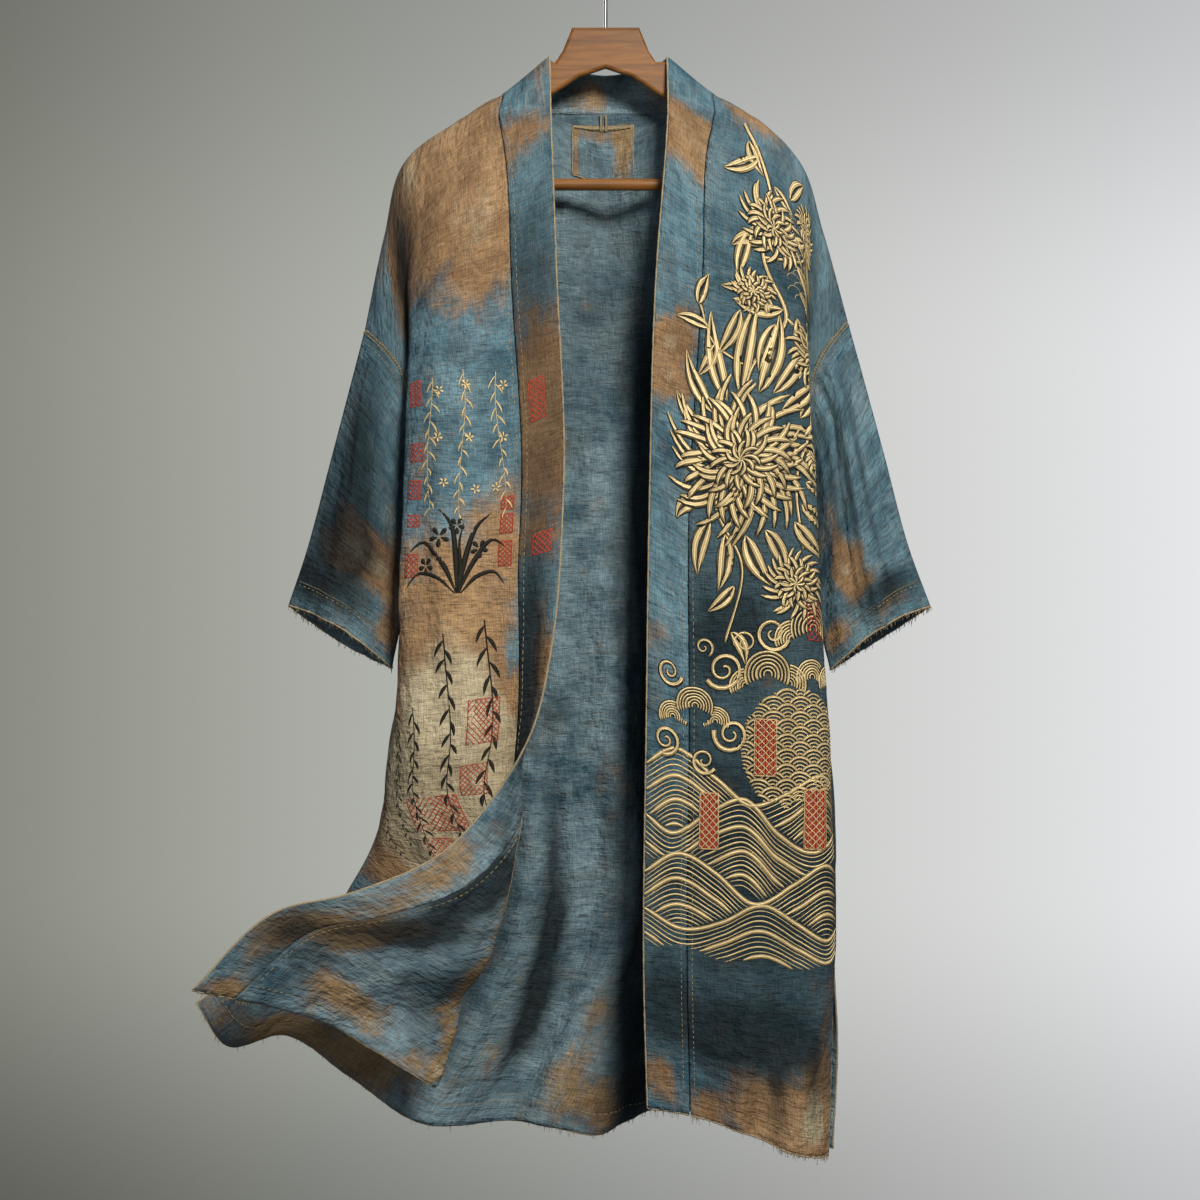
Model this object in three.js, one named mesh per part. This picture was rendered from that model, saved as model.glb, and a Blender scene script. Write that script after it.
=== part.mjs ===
import * as THREE from "three";

// Long kimono hung open on a wooden hanger, held by the hook's inside top.
// Millimetres, +Z up, the open front towards -Y, the wearer's right side at -X.

// ---- Sizes ----
const WALL = 1.6; // body and sleeve cloth, lining taken in
const BAND_WALL = 2.4; // folded neck band
const HEM_EXTRA = 1.2; // turned-up cloth on the inside of a hem
const HEM_HEIGHT = 32;
const SEAM = 0.3; // space left between neighbouring pieces
const ARM_END = 0.254; // where the armhole meets the side seam, as a share of the body length
const SLIT_TOP = 0.829; // where the side seam ends, same measure
const PATCH_EDGES = [-39, 34]; // patch inside the back neck, across
const PATCH_TOP = 0.016; // and down, as shares of the body length
const PATCH_FOOT = 0.069;
const SHOULDER_ROUND = 0.36; // how full the cloth lies over the hanger, as a share of its first drop
const SHOULDER_REACH = 0.03; // where that round ends, as a share of the body length
const BAND_GAP = 1.2; // band seam, wide enough for the sharp turn of the wind's fold
const TRIM_WALL = 1.0;
const WOOD_DEPTH = 12;
const BAR_RADIUS = 6.8;
const ROD_RADIUS = 2.25;
const HOOK_INNER = 20;

// ---- Tables: one row per section; points are [x, y, z] ----

// Armhole ends: top on the outer arm, foot at the underarm.
const armholes = {
  right: { top: [-271, -433], foot: [-214, -541], inward: [12, 9], deep: 15 },
  left: { top: [273, -424], foot: [223, -546], inward: [-13, 8], deep: 15 },
};

// Side seams between the underarm and the head of the slit.
const sideSeams = {
  right: [
    { at: 0.254, p: [-214, 0, -541] },
    { at: 0.394, p: [-212, 3, -687] },
    { at: 0.52, p: [-226, 4, -840] },
    { at: 0.671, p: [-255, 4, -993] },
    { at: 0.829, p: [-298, 4, -1081] },
  ],
  left: [
    { at: 0.254, p: [223, 0, -546] },
    { at: 0.405, p: [224, 3, -687] },
    { at: 0.545, p: [238, 4, -840] },
    { at: 0.615, p: [253, 4, -912] },
    { at: 0.829, p: [258, 4, -1150] },
  ],
};

// Free slit edges under the side seams.
const slitEdges = {
  rightFront: [
    { at: 0.829, p: [-298, 4, -1081] },
    { at: 0.9, p: [-255, -22, -1127] },
    { at: 1, p: [-200, -90, -1259] },
  ],
  rightBack: [
    { at: 0.829, p: [-298, 4, -1081] },
    { at: 0.9, p: [-363, 16, -1124] },
    { at: 1, p: [-459, -20, -1191] },
  ],
  leftFront: [
    { at: 0.829, p: [258, 4, -1150] },
    { at: 0.9, p: [253, -30, -1235] },
    { at: 1, p: [247, -62, -1352] },
  ],
  leftBack: [
    { at: 0.829, p: [258, 4, -1150] },
    { at: 0.9, p: [264, 26, -1240] },
    { at: 1, p: [259, 30, -1363] },
  ],
};

// Neck band width: full over the shoulder, then narrow down the fronts.
const bandWidths = [
  { at: 0, p: [70, 0, 0] },
  { at: 0.03, p: [62, 0, 0] },
  { at: 0.065, p: [60, 0, 0] },
  { at: 0.19, p: [55, 0, 0] },
  { at: 0.405, p: [51, 0, 0] },
  { at: 1, p: [48, 0, 0] },
];

// Right front: hangs to about three fifths, then the wind folds it back over itself.
// "turn" is the crest of that fold below the fifth row, and the band seam above it.
const rightFront = [
  { at: 0, arm: [-249, 0, -326], tip: [-227, 0, -245], chest: [-170, 0, -201],
    turn: [-117, 0, -170], back: [-88, 0, -147], edge: [-64, 0, -126] },
  { at: 0.028, arm: [-244, -15, -338], tip: [-222, -21, -267], chest: [-168, -23, -221],
    turn: [-115, -23, -191], back: [-88, -24, -181], edge: [-62, -23, -172] },
  { at: 0.061, arm: [-235, -20, -362], tip: [-218, -32, -307], chest: [-166, -38, -262],
    turn: [-113, -36, -232], back: [-87, -35, -218], edge: [-61, -32, -204] },
  { at: 0.186, arm: [-217, -12, -452], tip: [-218, -44, -424], chest: [-160, -57, -403],
    turn: [-105, -52, -387], back: [-80, -52, -375], edge: [-55, -50, -364] },
  { at: 0.394, arm: [-211, -16, -665], tip: [-227, -52, -649], chest: [-154, -72, -647],
    turn: [-98, -65, -644], back: [-73, -66, -634], edge: [-47, -65, -624] },
  { at: 0.52, arm: [-226, -20, -824], tip: [-231, -54, -814], chest: [-151, -78, -802],
    turn: [-96, -72, -799], back: [-79, -87, -797], edge: [-60, -106, -795] },
  { at: 0.595, arm: [-244, -20, -916], tip: [-228, -58, -909], chest: [-149, -88, -898],
    turn: [-98, -84, -889], back: [-87, -104, -885], edge: [-80, -128, -880] },
  { at: 0.671, arm: [-248, -28, -991], tip: [-212, -62, -987], chest: [-150, -90, -982],
    turn: [-93, -102, -981], back: [-106, -122, -970], edge: [-124, -132, -956] },
  { at: 0.761, arm: [-255, -32, -1046], tip: [-213, -60, -1056], chest: [-160, -84, -1074],
    turn: [-116, -108, -1090], back: [-150, -146, -1059], edge: [-191, -165, -1020] },
  { at: 0.829, arm: [-268, -35, -1090], tip: [-225, -62, -1104], chest: [-178, -86, -1120],
    turn: [-137, -110, -1139], back: [-196, -162, -1100], edge: [-272, -195, -1051] },
  { at: 0.9, arm: [-235, -48, -1137], tip: [-212, -70, -1152], chest: [-187, -86, -1168],
    turn: [-160, -106, -1195], back: [-246, -168, -1128], edge: [-350, -215, -1069] },
  { at: 1, arm: [-197, -93, -1261], tip: [-195, -96, -1263], chest: [-193, -99, -1265],
    turn: [-190, -104, -1267], back: [-313, -170, -1187], edge: [-435, -235, -1149] },
];

// Left front: hangs straight.
const leftFront = [
  { at: 0, arm: [245, 0, -322], tip: [220, 0, -246], chest: [174, 0, -199],
    turn: [125, 0, -171], edge: [69, 0, -126] },
  { at: 0.03, arm: [242, -15, -334], tip: [218, -21, -267], chest: [173, -23, -220],
    turn: [124, -24, -194], edge: [70, -22, -160] },
  { at: 0.065, arm: [233, -20, -359], tip: [215, -32, -304], chest: [171, -38, -261],
    turn: [122, -36, -235], edge: [70, -32, -190] },
  { at: 0.19, arm: [222, -12, -447], tip: [222, -44, -421], chest: [166, -57, -403],
    turn: [109, -52, -388], edge: [57, -50, -367] },
  { at: 0.405, arm: [222, -15, -671], tip: [234, -52, -653], chest: [167, -72, -647],
    turn: [98, -65, -644], edge: [49, -64, -616] },
  { at: 0.615, arm: [250, -20, -905], tip: [246, -58, -898], chest: [170, -81, -894],
    turn: [93, -74, -893], edge: [45, -73, -882] },
  { at: 0.82, arm: [255, -28, -1147], tip: [249, -66, -1143], chest: [170, -88, -1140],
    turn: [90, -82, -1135], edge: [42, -81, -1130] },
  { at: 1, arm: [235, -82, -1353], tip: [217, -92, -1350], chest: [157, -92, -1326],
    turn: [88, -90, -1304], edge: [46, -88, -1298] },
];

// Back, under the level where it stops mirroring the fronts; the wind draws it to -X.
const backFoot = [
  { at: 0.829, armR: [-287, 32, -1090], tipR: [-258, 54, -1105], bladeR: [-188, 66, -1130],
    neckR: [-118, 74, -1140], napeR: [-67, 80, -1144], mid: [-16, 82, -1146],
    napeL: [34, 82, -1147], neckL: [82, 78, -1147],
    bladeL: [168, 74, -1148], tipL: [246, 62, -1150], armL: [256, 30, -1150] },
  { at: 0.915, armR: [-352, 30, -1150], tipR: [-312, 44, -1164], bladeR: [-236, 50, -1197],
    neckR: [-160, 66, -1231], napeR: [-114, 80, -1238], mid: [-66, 88, -1243],
    napeL: [-20, 72, -1247], neckL: [28, 56, -1247],
    bladeL: [112, 98, -1244], tipL: [196, 82, -1247], armL: [248, 50, -1252] },
  { at: 1, armR: [-426, -6, -1241], tipR: [-366, 26, -1233], bladeR: [-292, 30, -1281],
    neckR: [-205, 55, -1340], napeR: [-157, 76, -1343], mid: [-110, 90, -1341],
    napeL: [-62, 62, -1345], neckL: [-12, 30, -1348],
    bladeL: [62, 115, -1332], tipL: [152, 84, -1340], armL: [226, 56, -1355] },
];

// Back neck: the seam where the band is sewn on, and the band's free edge.
const neckSeam = {
  right: [-117, 0, -170],
  napeRight: [-92, 43, -178],
  middle: [0, 62, -179],
  napeLeft: [97, 43, -178],
  left: [125, 0, -171],
};
const neckTop = [
  { at: 0, p: [-64, 0, -126] },
  { at: 0.2, p: [-54, 28, -130] },
  { at: 0.5, p: [1, 52, -137] },
  { at: 0.8, p: [56, 28, -130] },
  { at: 1, p: [69, 0, -126] },
];

// Sleeves: outer ridge and under edge in the plane of the arms, depth of each face and its sag.
const sleeves = {
  right: [
    { at: 0, ridge: [-271, -433], under: [-214, -541], front: 15, rear: 15, lift: 12, sag: -12 },
    { at: 0.25, ridge: [-290, -506], under: [-221, -608], front: 24, rear: 26, lift: 6, sag: -4 },
    { at: 0.5, ridge: [-311, -586], under: [-225, -682], front: 30, rear: 32, lift: 4, sag: 4 },
    { at: 0.78, ridge: [-336, -680], under: [-229, -756], front: 32, rear: 36, lift: 7, sag: 8 },
    { at: 1, ridge: [-357, -743], under: [-239, -813], front: 30, rear: 40, lift: 12, sag: 8 },
  ],
  left: [
    { at: 0, ridge: [273, -424], under: [223, -546], front: 15, rear: 15, lift: 12, sag: -12 },
    { at: 0.25, ridge: [291, -489], under: [231, -614], front: 24, rear: 26, lift: 6, sag: -4 },
    { at: 0.5, ridge: [314, -574], under: [236, -684], front: 30, rear: 32, lift: 4, sag: 4 },
    { at: 0.78, ridge: [341, -676], under: [241, -760], front: 32, rear: 36, lift: 7, sag: 5 },
    { at: 1, ridge: [366, -744], under: [252, -815], front: 28, rear: 40, lift: 13, sag: 3 },
  ],
};

// Soft folds pressed into a panel: place across and down it, half width, depth towards the outside.
const folds = {
  rightFront: [
    { across: 0.62, down: 0.36, wide: 0.09, long: 0.24, out: 5, lean: 0.05 },
    { across: 0.78, down: 0.5, wide: 0.07, long: 0.16, out: -5, lean: -0.1 },
    { across: 0.45, down: 0.62, wide: 0.08, long: 0.14, out: 6, lean: 0.3 },
    { across: 0.72, down: 0.88, wide: 0.1, long: 0.1, out: -9, lean: 0.5 },
    { across: 0.52, down: 0.93, wide: 0.08, long: 0.1, out: 8, lean: 0.5 },
  ],
  leftFront: [
    { across: 0.56, down: 0.42, wide: 0.08, long: 0.3, out: 6, lean: 0.1 },
    { across: 0.76, down: 0.62, wide: 0.07, long: 0.3, out: -5, lean: -0.05 },
    { across: 0.5, down: 0.86, wide: 0.09, long: 0.2, out: -8, lean: 0.1 },
    { across: 0.66, down: 0.9, wide: 0.07, long: 0.2, out: 8, lean: 0.1 },
  ],
  back: [
    { across: 0.3, down: 0.5, wide: 0.04, long: 0.34, out: 6, lean: 0.02 },
    { across: 0.4, down: 0.62, wide: 0.035, long: 0.3, out: -7, lean: -0.04 },
    { across: 0.56, down: 0.8, wide: 0.04, long: 0.22, out: -14, lean: 0.06 },
    { across: 0.64, down: 0.74, wide: 0.04, long: 0.3, out: 9, lean: 0.05 },
    { across: 0.74, down: 0.6, wide: 0.04, long: 0.34, out: -6, lean: 0 },
    { across: 0.2, down: 0.9, wide: 0.04, long: 0.16, out: -9, lean: -0.05 },
    { across: 0.86, down: 0.85, wide: 0.04, long: 0.2, out: 7, lean: 0 },
  ],
};

// Head of the hanger from its centre out to where the cloth begins to lie on it.
const woodHead = [
  { at: 0, z: -92 },
  { at: 38, z: -92 },
  { at: 49, z: -119 },
  { at: 57, z: -131 },
];
const ARM_TIP = 217;
const woodFoot = [
  { at: 216, z: -279 },
  { at: 192, z: -282 },
  { at: 184, z: -256 },
  { at: 166, z: -232 },
  { at: 118, z: -203 },
  { at: 63, z: -170 },
  { at: 30, z: -148 },
  { at: 0, z: -138 },
];

// ---- Geometry helpers ----

const vec = (p) => new THREE.Vector3(p[0], p[1], p[2]);
const mix = (a, b, t) => a + (b - a) * t;
const smooth = (t) => {
  const c = Math.min(1, Math.max(0, t));
  return c * c * (3 - 2 * c);
};

// Point of a smooth curve through points at rising places.
function through(places, points, place) {
  const last = places.length - 1;
  const slope = (i) => points[i + 1].clone().sub(points[i]).divideScalar(places[i + 1] - places[i]);
  const tangent = (i) => {
    if (i === 0) return slope(0);
    if (i === last) return slope(last - 1);
    const before = places[i] - places[i - 1];
    const after = places[i + 1] - places[i];
    return slope(i - 1).multiplyScalar(after).addScaledVector(slope(i), before)
      .divideScalar(before + after);
  };
  let k = 0;
  while (k < last - 1 && place > places[k + 1]) k += 1;
  const span = places[k + 1] - places[k];
  const t = (place - places[k]) / span;
  const t2 = t * t;
  const t3 = t2 * t;
  return points[k].clone().multiplyScalar(2 * t3 - 3 * t2 + 1)
    .addScaledVector(tangent(k), span * (t3 - 2 * t2 + t))
    .addScaledVector(points[k + 1], 3 * t2 - 2 * t3)
    .addScaledVector(tangent(k + 1), span * (t3 - t2));
}

// One column of a table at a place down it.
function column(table, name, at) {
  return through(table.map((row) => row.at), table.map((row) => vec(row[name])), at);
}

// Curve through points, read by its own length.
function lengthCurve(points, steps) {
  const places = [0];
  for (let i = 1; i < points.length; i += 1) {
    places.push(places[i - 1] + Math.max(1e-3, points[i].distanceTo(points[i - 1])));
  }
  const line = [];
  const lengths = [0];
  for (let i = 0; i <= steps; i += 1) {
    line.push(through(places, points, (places[places.length - 1] * i) / steps));
    if (i) lengths.push(lengths[i - 1] + line[i].distanceTo(line[i - 1]));
  }
  const total = lengths[steps];
  const markAt = (i) => {
    const k = (places[i] / places[places.length - 1]) * steps;
    const low = Math.min(steps - 1, Math.floor(k));
    return mix(lengths[low], lengths[low + 1], k - low);
  };
  const pointAt = (length) => {
    let k = 0;
    while (k < steps - 1 && length > lengths[k + 1]) k += 1;
    const t = (length - lengths[k]) / (lengths[k + 1] - lengths[k]);
    return line[k].clone().lerp(line[k + 1], t);
  };
  return { total, pointAt, markAt };
}

// Outward displacement of the soft folds at a place on a panel; nothing at its seams.
function foldOut(list, u, v) {
  const atSeams = smooth(u / 0.12) * smooth((1 - u) / 0.12) * smooth(v / 0.1);
  let out = 0;
  for (const f of list) {
    const a = (u - f.across - f.lean * (v - f.down)) / f.wide;
    const b = (v - f.down) / f.long;
    out += f.out * Math.exp(-a * a - b * b);
  }
  return out * atSeams;
}

// ---- Shared seams ----

// Armhole of one body face, from the outer arm to the underarm.
function armhole(side, face, t) {
  const a = armholes[side];
  const bow = Math.sin(Math.PI * t);
  return new THREE.Vector3(
    mix(a.top[0], a.foot[0], t) + a.inward[0] * bow,
    face * (a.deep * bow + SEAM / 2),
    mix(a.top[1], a.foot[1], t) + a.inward[1] * bow,
  );
}

// Outer edge of a body panel: armhole, side seam, slit.
function sideEdge(side, face, v) {
  if (v <= ARM_END) return armhole(side, face, v / ARM_END);
  const inSeam = v <= SLIT_TOP;
  const table = inSeam ? sideSeams[side] : slitEdges[side + (face < 0 ? "Front" : "Back")];
  return column(table, "p", v).add(new THREE.Vector3(0, (face * SEAM) / 2, 0));
}

const bandWidth = (v) => column(bandWidths, "p", v).x;

// Point of a panel: kept off the shoulder fold, and full over the hanger's edge.
function shoulderPoint(table, name, face, v) {
  const p = column(table, name, v);
  p.y += face * (SEAM / 2) * (1 - smooth(v / SHOULDER_REACH));
  if (v < SHOULDER_REACH && !/^(mid|nape)/.test(name)) {
    const drop = vec(table[0][name]).z - column(table, name, SHOULDER_REACH).z;
    p.z += SHOULDER_ROUND * drop * Math.sin((Math.PI * v) / SHOULDER_REACH);
  }
  return p;
}

// Section of a front panel with its band, from the side edge to the free edge.
function frontSection(side, table, names, v) {
  const points = [sideEdge(side, -1, v)];
  for (const name of names) points.push(shoulderPoint(table, name, -1, v));
  return lengthCurve(points, 160);
}

const rightNames = ["arm", "tip", "chest", "turn", "back", "edge"];
const leftNames = ["arm", "tip", "chest", "turn", "edge"];
const backNames = ["armR", "tipR", "bladeR", "neckR", "napeR", "mid", "napeL", "neckL",
  "bladeL", "tipL", "armL"];

// Section of the back, from its right edge to its left edge.
const upperLevels = [0, 0.03, 0.065, 0.19, 0.405, 0.615];
const backTable = upperLevels.map((at) => {
  const turned = (table, name) => {
    const p = column(table, name, at);
    return [p.x, -p.y, p.z];
  };
  const drop = smooth(at / 0.065);
  const neck = column(leftFront, "turn", at);
  const level = (p, x, y) => [mix(p[0], x, drop), mix(p[1], y, drop), mix(p[2], neck.z - 8, drop)];
  return {
    at,
    armR: turned(rightFront, "arm"),
    tipR: turned(rightFront, "tip"),
    bladeR: turned(rightFront, "chest"),
    neckR: level(neckSeam.right, -106, -neck.y),
    napeR: level(neckSeam.napeRight, -56, 6 - neck.y),
    mid: [0, mix(neckSeam.middle[1], 74, drop), mix(neckSeam.middle[2], -1346, at)],
    napeL: level(neckSeam.napeLeft, 56, 6 - neck.y),
    neckL: level(neckSeam.left, 106, -neck.y),
    bladeL: turned(leftFront, "chest"),
    tipL: turned(leftFront, "tip"),
    armL: turned(leftFront, "arm"),
  };
});
backTable.push(...backFoot);

function backSection(v) {
  const points = [sideEdge("right", 1, v)];
  for (const name of backNames) points.push(shoulderPoint(backTable, name, 1, v));
  points.push(sideEdge("left", 1, v));
  return lengthCurve(points, 200);
}

// ---- Walls ----

// Grid of middle points of a wall, kept row by row.
function grid(columns, rows, pointAt) {
  const points = [];
  for (let j = 0; j <= rows; j += 1) {
    const line = [];
    for (let i = 0; i <= columns; i += 1) line.push(pointAt(i / columns, j / rows));
    points.push(line);
  }
  return points;
}

function gridNormal(points, i, j, closed) {
  const rows = points.length - 1;
  const columns = points[0].length - 1;
  const left = closed && i === 0 ? columns - 1 : Math.max(0, i - 1);
  const right = closed && i === columns ? 1 : Math.min(columns, i + 1);
  const across = points[j][right].clone().sub(points[j][left]);
  const down = points[Math.min(rows, j + 1)][i].clone().sub(points[Math.max(0, j - 1)][i]);
  return down.cross(across).normalize();
}

// Points moved along their normals by an amount that may differ from place to place.
function moved(points, amount, closed = false) {
  return points.map((line, j) => line.map((p, i) => {
    const u = i / (line.length - 1);
    const v = j / (points.length - 1);
    return p.clone().addScaledVector(gridNormal(points, i, j, closed), amount(u, v, j));
  }));
}

// Closed body between an outer and an inner grid; square(i, j) keeps a seam face in an XZ plane.
function body(points, thick, square = () => false, closed = false) {
  const rows = points.length - 1;
  const columns = points[0].length - 1;
  const wide = closed ? columns : columns + 1;
  const positions = [];
  for (const face of [1, -1]) {
    for (let j = 0; j <= rows; j += 1) {
      for (let i = 0; i < wide; i += 1) {
        const n = gridNormal(points, i, j, closed);
        if (square(i, j)) n.setY(0).normalize();
        const t = thick(i / columns, j / rows, i, j)[face > 0 ? 0 : 1];
        const p = points[j][i].clone().addScaledVector(n, face * t);
        positions.push(p.x, p.y, p.z);
      }
    }
  }
  const layer = wide * (rows + 1);
  const id = (face, i, j) => face * layer + j * wide + (closed ? i % columns : i);
  const faces = [];
  const quad = (a, b, c, d) => faces.push(a, b, c, a, c, d);
  for (let j = 0; j < rows; j += 1) {
    for (let i = 0; i < columns; i += 1) {
      quad(id(0, i, j), id(0, i, j + 1), id(0, i + 1, j + 1), id(0, i + 1, j));
      quad(id(1, i, j), id(1, i + 1, j), id(1, i + 1, j + 1), id(1, i, j + 1));
    }
  }
  for (let i = 0; i < columns; i += 1) {
    quad(id(0, i, 0), id(0, i + 1, 0), id(1, i + 1, 0), id(1, i, 0));
    quad(id(0, i, rows), id(1, i, rows), id(1, i + 1, rows), id(0, i + 1, rows));
  }
  if (!closed) {
    for (let j = 0; j < rows; j += 1) {
      quad(id(0, 0, j), id(1, 0, j), id(1, 0, j + 1), id(0, 0, j + 1));
      quad(id(0, columns, j), id(0, columns, j + 1), id(1, columns, j + 1), id(1, columns, j));
    }
  }
  return shape(positions, faces);
}

// Geometry with its faces turned outwards.
function shape(positions, faces) {
  let volume = 0;
  for (let k = 0; k < faces.length; k += 3) {
    const [a, b, c] = [faces[k], faces[k + 1], faces[k + 2]].map((n) =>
      new THREE.Vector3(positions[3 * n], positions[3 * n + 1], positions[3 * n + 2]));
    volume += a.dot(b.cross(c));
  }
  if (volume < 0) {
    for (let k = 0; k < faces.length; k += 3) {
      [faces[k + 1], faces[k + 2]] = [faces[k + 2], faces[k + 1]];
    }
  }
  const geometry = new THREE.BufferGeometry();
  geometry.setAttribute("position", new THREE.Float32BufferAttribute(positions, 3));
  geometry.setIndex(faces);
  return geometry;
}

const group = new THREE.Group();
function add(name, geometry, color, roughness, metalness = 0) {
  const material = new THREE.MeshStandardMaterial({ color, roughness, metalness });
  material.name = name;
  const mesh = new THREE.Mesh(geometry, material);
  mesh.name = name;
  group.add(mesh);
}

// ---- Body panels ----

const BODY_LENGTH = 1150;
const hemShare = HEM_HEIGHT / BODY_LENGTH;
const half = WALL / 2;
const panelThick = (u, v) => [half, half + HEM_EXTRA * smooth((v - 1 + hemShare) / 0.012)];

const spread = (from, to, steps) => Array.from({ length: steps }, (_, k) =>
  mix(from, to, k / steps));
const shoulderV = [0, 0.006, 0.013];
const frontV = {
  right: [...shoulderV, ...spread(0.028, 1, 38), 1],
  left: [...shoulderV, ...spread(0.028, 1, 25), 1],
};

// Share across a panel for a grid column, the columns crowding towards a crest.
function crowded(t, crest) {
  const pull = (x) => x - 0.62 * (x - crest) * Math.exp(-(((x - crest) / 0.25) ** 2));
  return (pull(t) - pull(0)) / (pull(1) - pull(0));
}

// Front panels run from the side edge to the seam of the neck band.
function frontPanel(side, table, names, foldList, columns) {
  const turn = side === "right" ? 1 : -1;
  const places = frontV[side];
  const points = [];
  for (const v of places) {
    const section = frontSection(side, table, names, v);
    const wide = section.total - bandWidth(v) - SEAM / 2;
    const crest = side === "right" ? Math.min(1, section.markAt(4) / wide) : 1;
    const line = [];
    for (let i = 0; i <= columns; i += 1) {
      line.push(section.pointAt(wide * crowded(i / columns, crest)));
    }
    if (v === 0) line.forEach((p) => p.setY(-SEAM / 2));
    points.push(line);
  }
  const shaped = moved(points, (u, v, j) => turn * foldOut(foldList, u, places[j]));
  const thick = (u, v, i, j) => {
    const faces = panelThick(u, places[j]);
    return turn > 0 ? faces : faces.reverse();
  };
  return body(shaped, thick, (i, j) => j === 0 || i === 0);
}
add("front_right", frontPanel("right", rightFront, rightNames, folds.rightFront, 20),
  0x9a8060, 0.85);
add("front_left", frontPanel("left", leftFront, leftNames, folds.leftFront, 18),
  0x2f4f6a, 0.85);

// Share across the back, on its section at v, where it passes x.
function placeOfX(x, v) {
  const section = backSection(v);
  let low = 0.3;
  let high = 0.7;
  for (let k = 0; k < 30; k += 1) {
    const middle = (low + high) / 2;
    if (section.pointAt(section.total * middle).x < x) low = middle;
    else high = middle;
  }
  return low;
}

// Shares across the back for its grid: two columns keep to the upright edges of the patch.
const topSection = backSection(0);
const neckU = [4, 8].map((k) => topSection.markAt(k) / topSection.total);
function backShares(v) {
  const beside = Math.min(PATCH_FOOT, Math.max(PATCH_TOP, v));
  const patchU = PATCH_EDGES.map((x) => placeOfX(x, beside));
  return [...spread(0, neckU[0], 10), ...spread(neckU[0], patchU[0], 5),
    ...spread(patchU[0], patchU[1], 4), ...spread(patchU[1], neckU[1], 5),
    ...spread(neckU[1], 1, 10), 1];
}
const backV = [0, 0.007, ...spread(PATCH_TOP, PATCH_FOOT, 3), ...spread(PATCH_FOOT, 1, 26), 1];
const backU = backV.map(backShares);
const backFlat = backV.map((v, j) => {
  const section = backSection(v);
  return backU[j].map((u) => {
    const p = section.pointAt(section.total * u);
    if (v === 0) p.setY(Math.max(p.y, SEAM / 2));
    return p;
  });
});
const backPoints = backFlat.map((line, j) => line.map((p, i) =>
  p.clone().addScaledVector(gridNormal(backFlat, i, j, false),
    -foldOut(folds.back, backU[j][i], backV[j]))));
const backThick = (i, j) => panelThick(0, backV[j]).reverse();
add("back", body(backPoints, (u, v, i, j) => backThick(i, j),
  (i, j) => j === 0 || i === 0 || i === backU[0].length - 1), 0x35566f, 0.88);

// ---- Neck band: two front lengths and the back neck ----

function frontBand(side, table, names) {
  return frontV[side].map((v) => {
    const section = frontSection(side, table, names, v);
    const width = bandWidth(v) - BAND_GAP + SEAM / 2;
    return [0, 1, 2, 3].map((i) => {
      const p = section.pointAt(section.total - width * (1 - i / 3));
      if (v === 0) p.setY(-SEAM / 2);
      return p;
    });
  });
}
const bandThick = () => [BAND_WALL / 2, BAND_WALL / 2];
add("collar_right", body(frontBand("right", rightFront, rightNames), bandThick,
  (i, j) => j === 0), 0x6a6a5c, 0.85);
add("collar_left", body(frontBand("left", leftFront, leftNames), bandThick,
  (i, j) => j === 0), 0x35536a, 0.85);

// Its seam follows the back's own top edge, column by column.
const neckColumns = backU[0].map((u, i) => i).slice(10, 25);
const bandLevels = [0, 0.25, 0.5, 0.75, 1];
const neckBand = bandLevels.map((level) => neckColumns.map((i, k) => {
  const u = k / (neckColumns.length - 1);
  const top = column(neckTop, "p", u).add(new THREE.Vector3(0, SEAM / 2, 0));
  const ends = Math.min(1, Math.min(u, 1 - u) / 0.12);
  const bow = new THREE.Vector3(0, 5 * Math.sin(Math.PI * level) * ends, 0);
  return backPoints[0][i].clone().lerp(top, mix(0.045, 1, level)).add(bow);
}));
add("collar_back", body(neckBand, bandThick, (i) => i === 0 || i === neckColumns.length - 1),
  0x27425a, 0.85);

// ---- Sleeves ----

function sleeve(side) {
  const table = sleeves[side];
  const outward = side === "right" ? -1 : 1;
  const value = (name, s) => {
    const rows = table.map((row) => ({ at: row.at, p: [row[name], 0, 0] }));
    return column(rows, "p", s).x;
  };
  const rail = (name, s) => {
    const rows = table.map((row) => ({ at: row.at, p: [row[name][0], 0, row[name][1]] }));
    return column(rows, "p", s);
  };
  const points = grid(24, 14, (u, s) => {
    const isFront = u <= 0.5;
    const t = isFront ? u * 2 : 2 - u * 2;
    const bow = Math.sin(Math.PI * t);
    const ridge = rail("ridge", s);
    const under = rail("under", s);
    const start = 1 - smooth(s / 0.2);
    const p = ridge.lerp(under, t);
    p.y = isFront ? -value("front", s) * bow : value("rear", s) * bow;
    p.z += isFront ? value("lift", s) * bow : -value("sag", s) * bow;
    p.x -= outward * 12 * bow * start;
    p.z += (start * bow * (side === "right" ? -3 : -4));
    return p.add(new THREE.Vector3(outward * mix(0.5, 3, t), 0, -1.5));
  });
  const cuff = HEM_HEIGHT / 300;
  const inside = (s) => HEM_EXTRA * smooth((s - 1 + cuff) / 0.04);
  const thick = (u, s) => (outward < 0
    ? [half, half + inside(s)]
    : [half + inside(s), half]);
  return body(points, thick, undefined, true);
}
add("sleeve_right", sleeve("right"), 0x2c4a63, 0.86);
add("sleeve_left", sleeve("left"), 0x2c4a63, 0.86);

// ---- Patch inside the back neck ----

// A piece laid on cells of the back's grid, moved in from its inner face.
function onBack(fromColumn, toColumn, fromRow, toRow, away) {
  const laid = moved(backPoints, () => half + SEAM + away + TRIM_WALL / 2);
  const cells = laid.slice(fromRow, toRow + 1).map((line) => line.slice(fromColumn, toColumn + 1));
  return body(cells, () => [TRIM_WALL / 2, TRIM_WALL / 2]);
}
add("neck_patch", onBack(15, 19, 2, 5, 0), 0x2d4a5e, 0.9);

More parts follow.
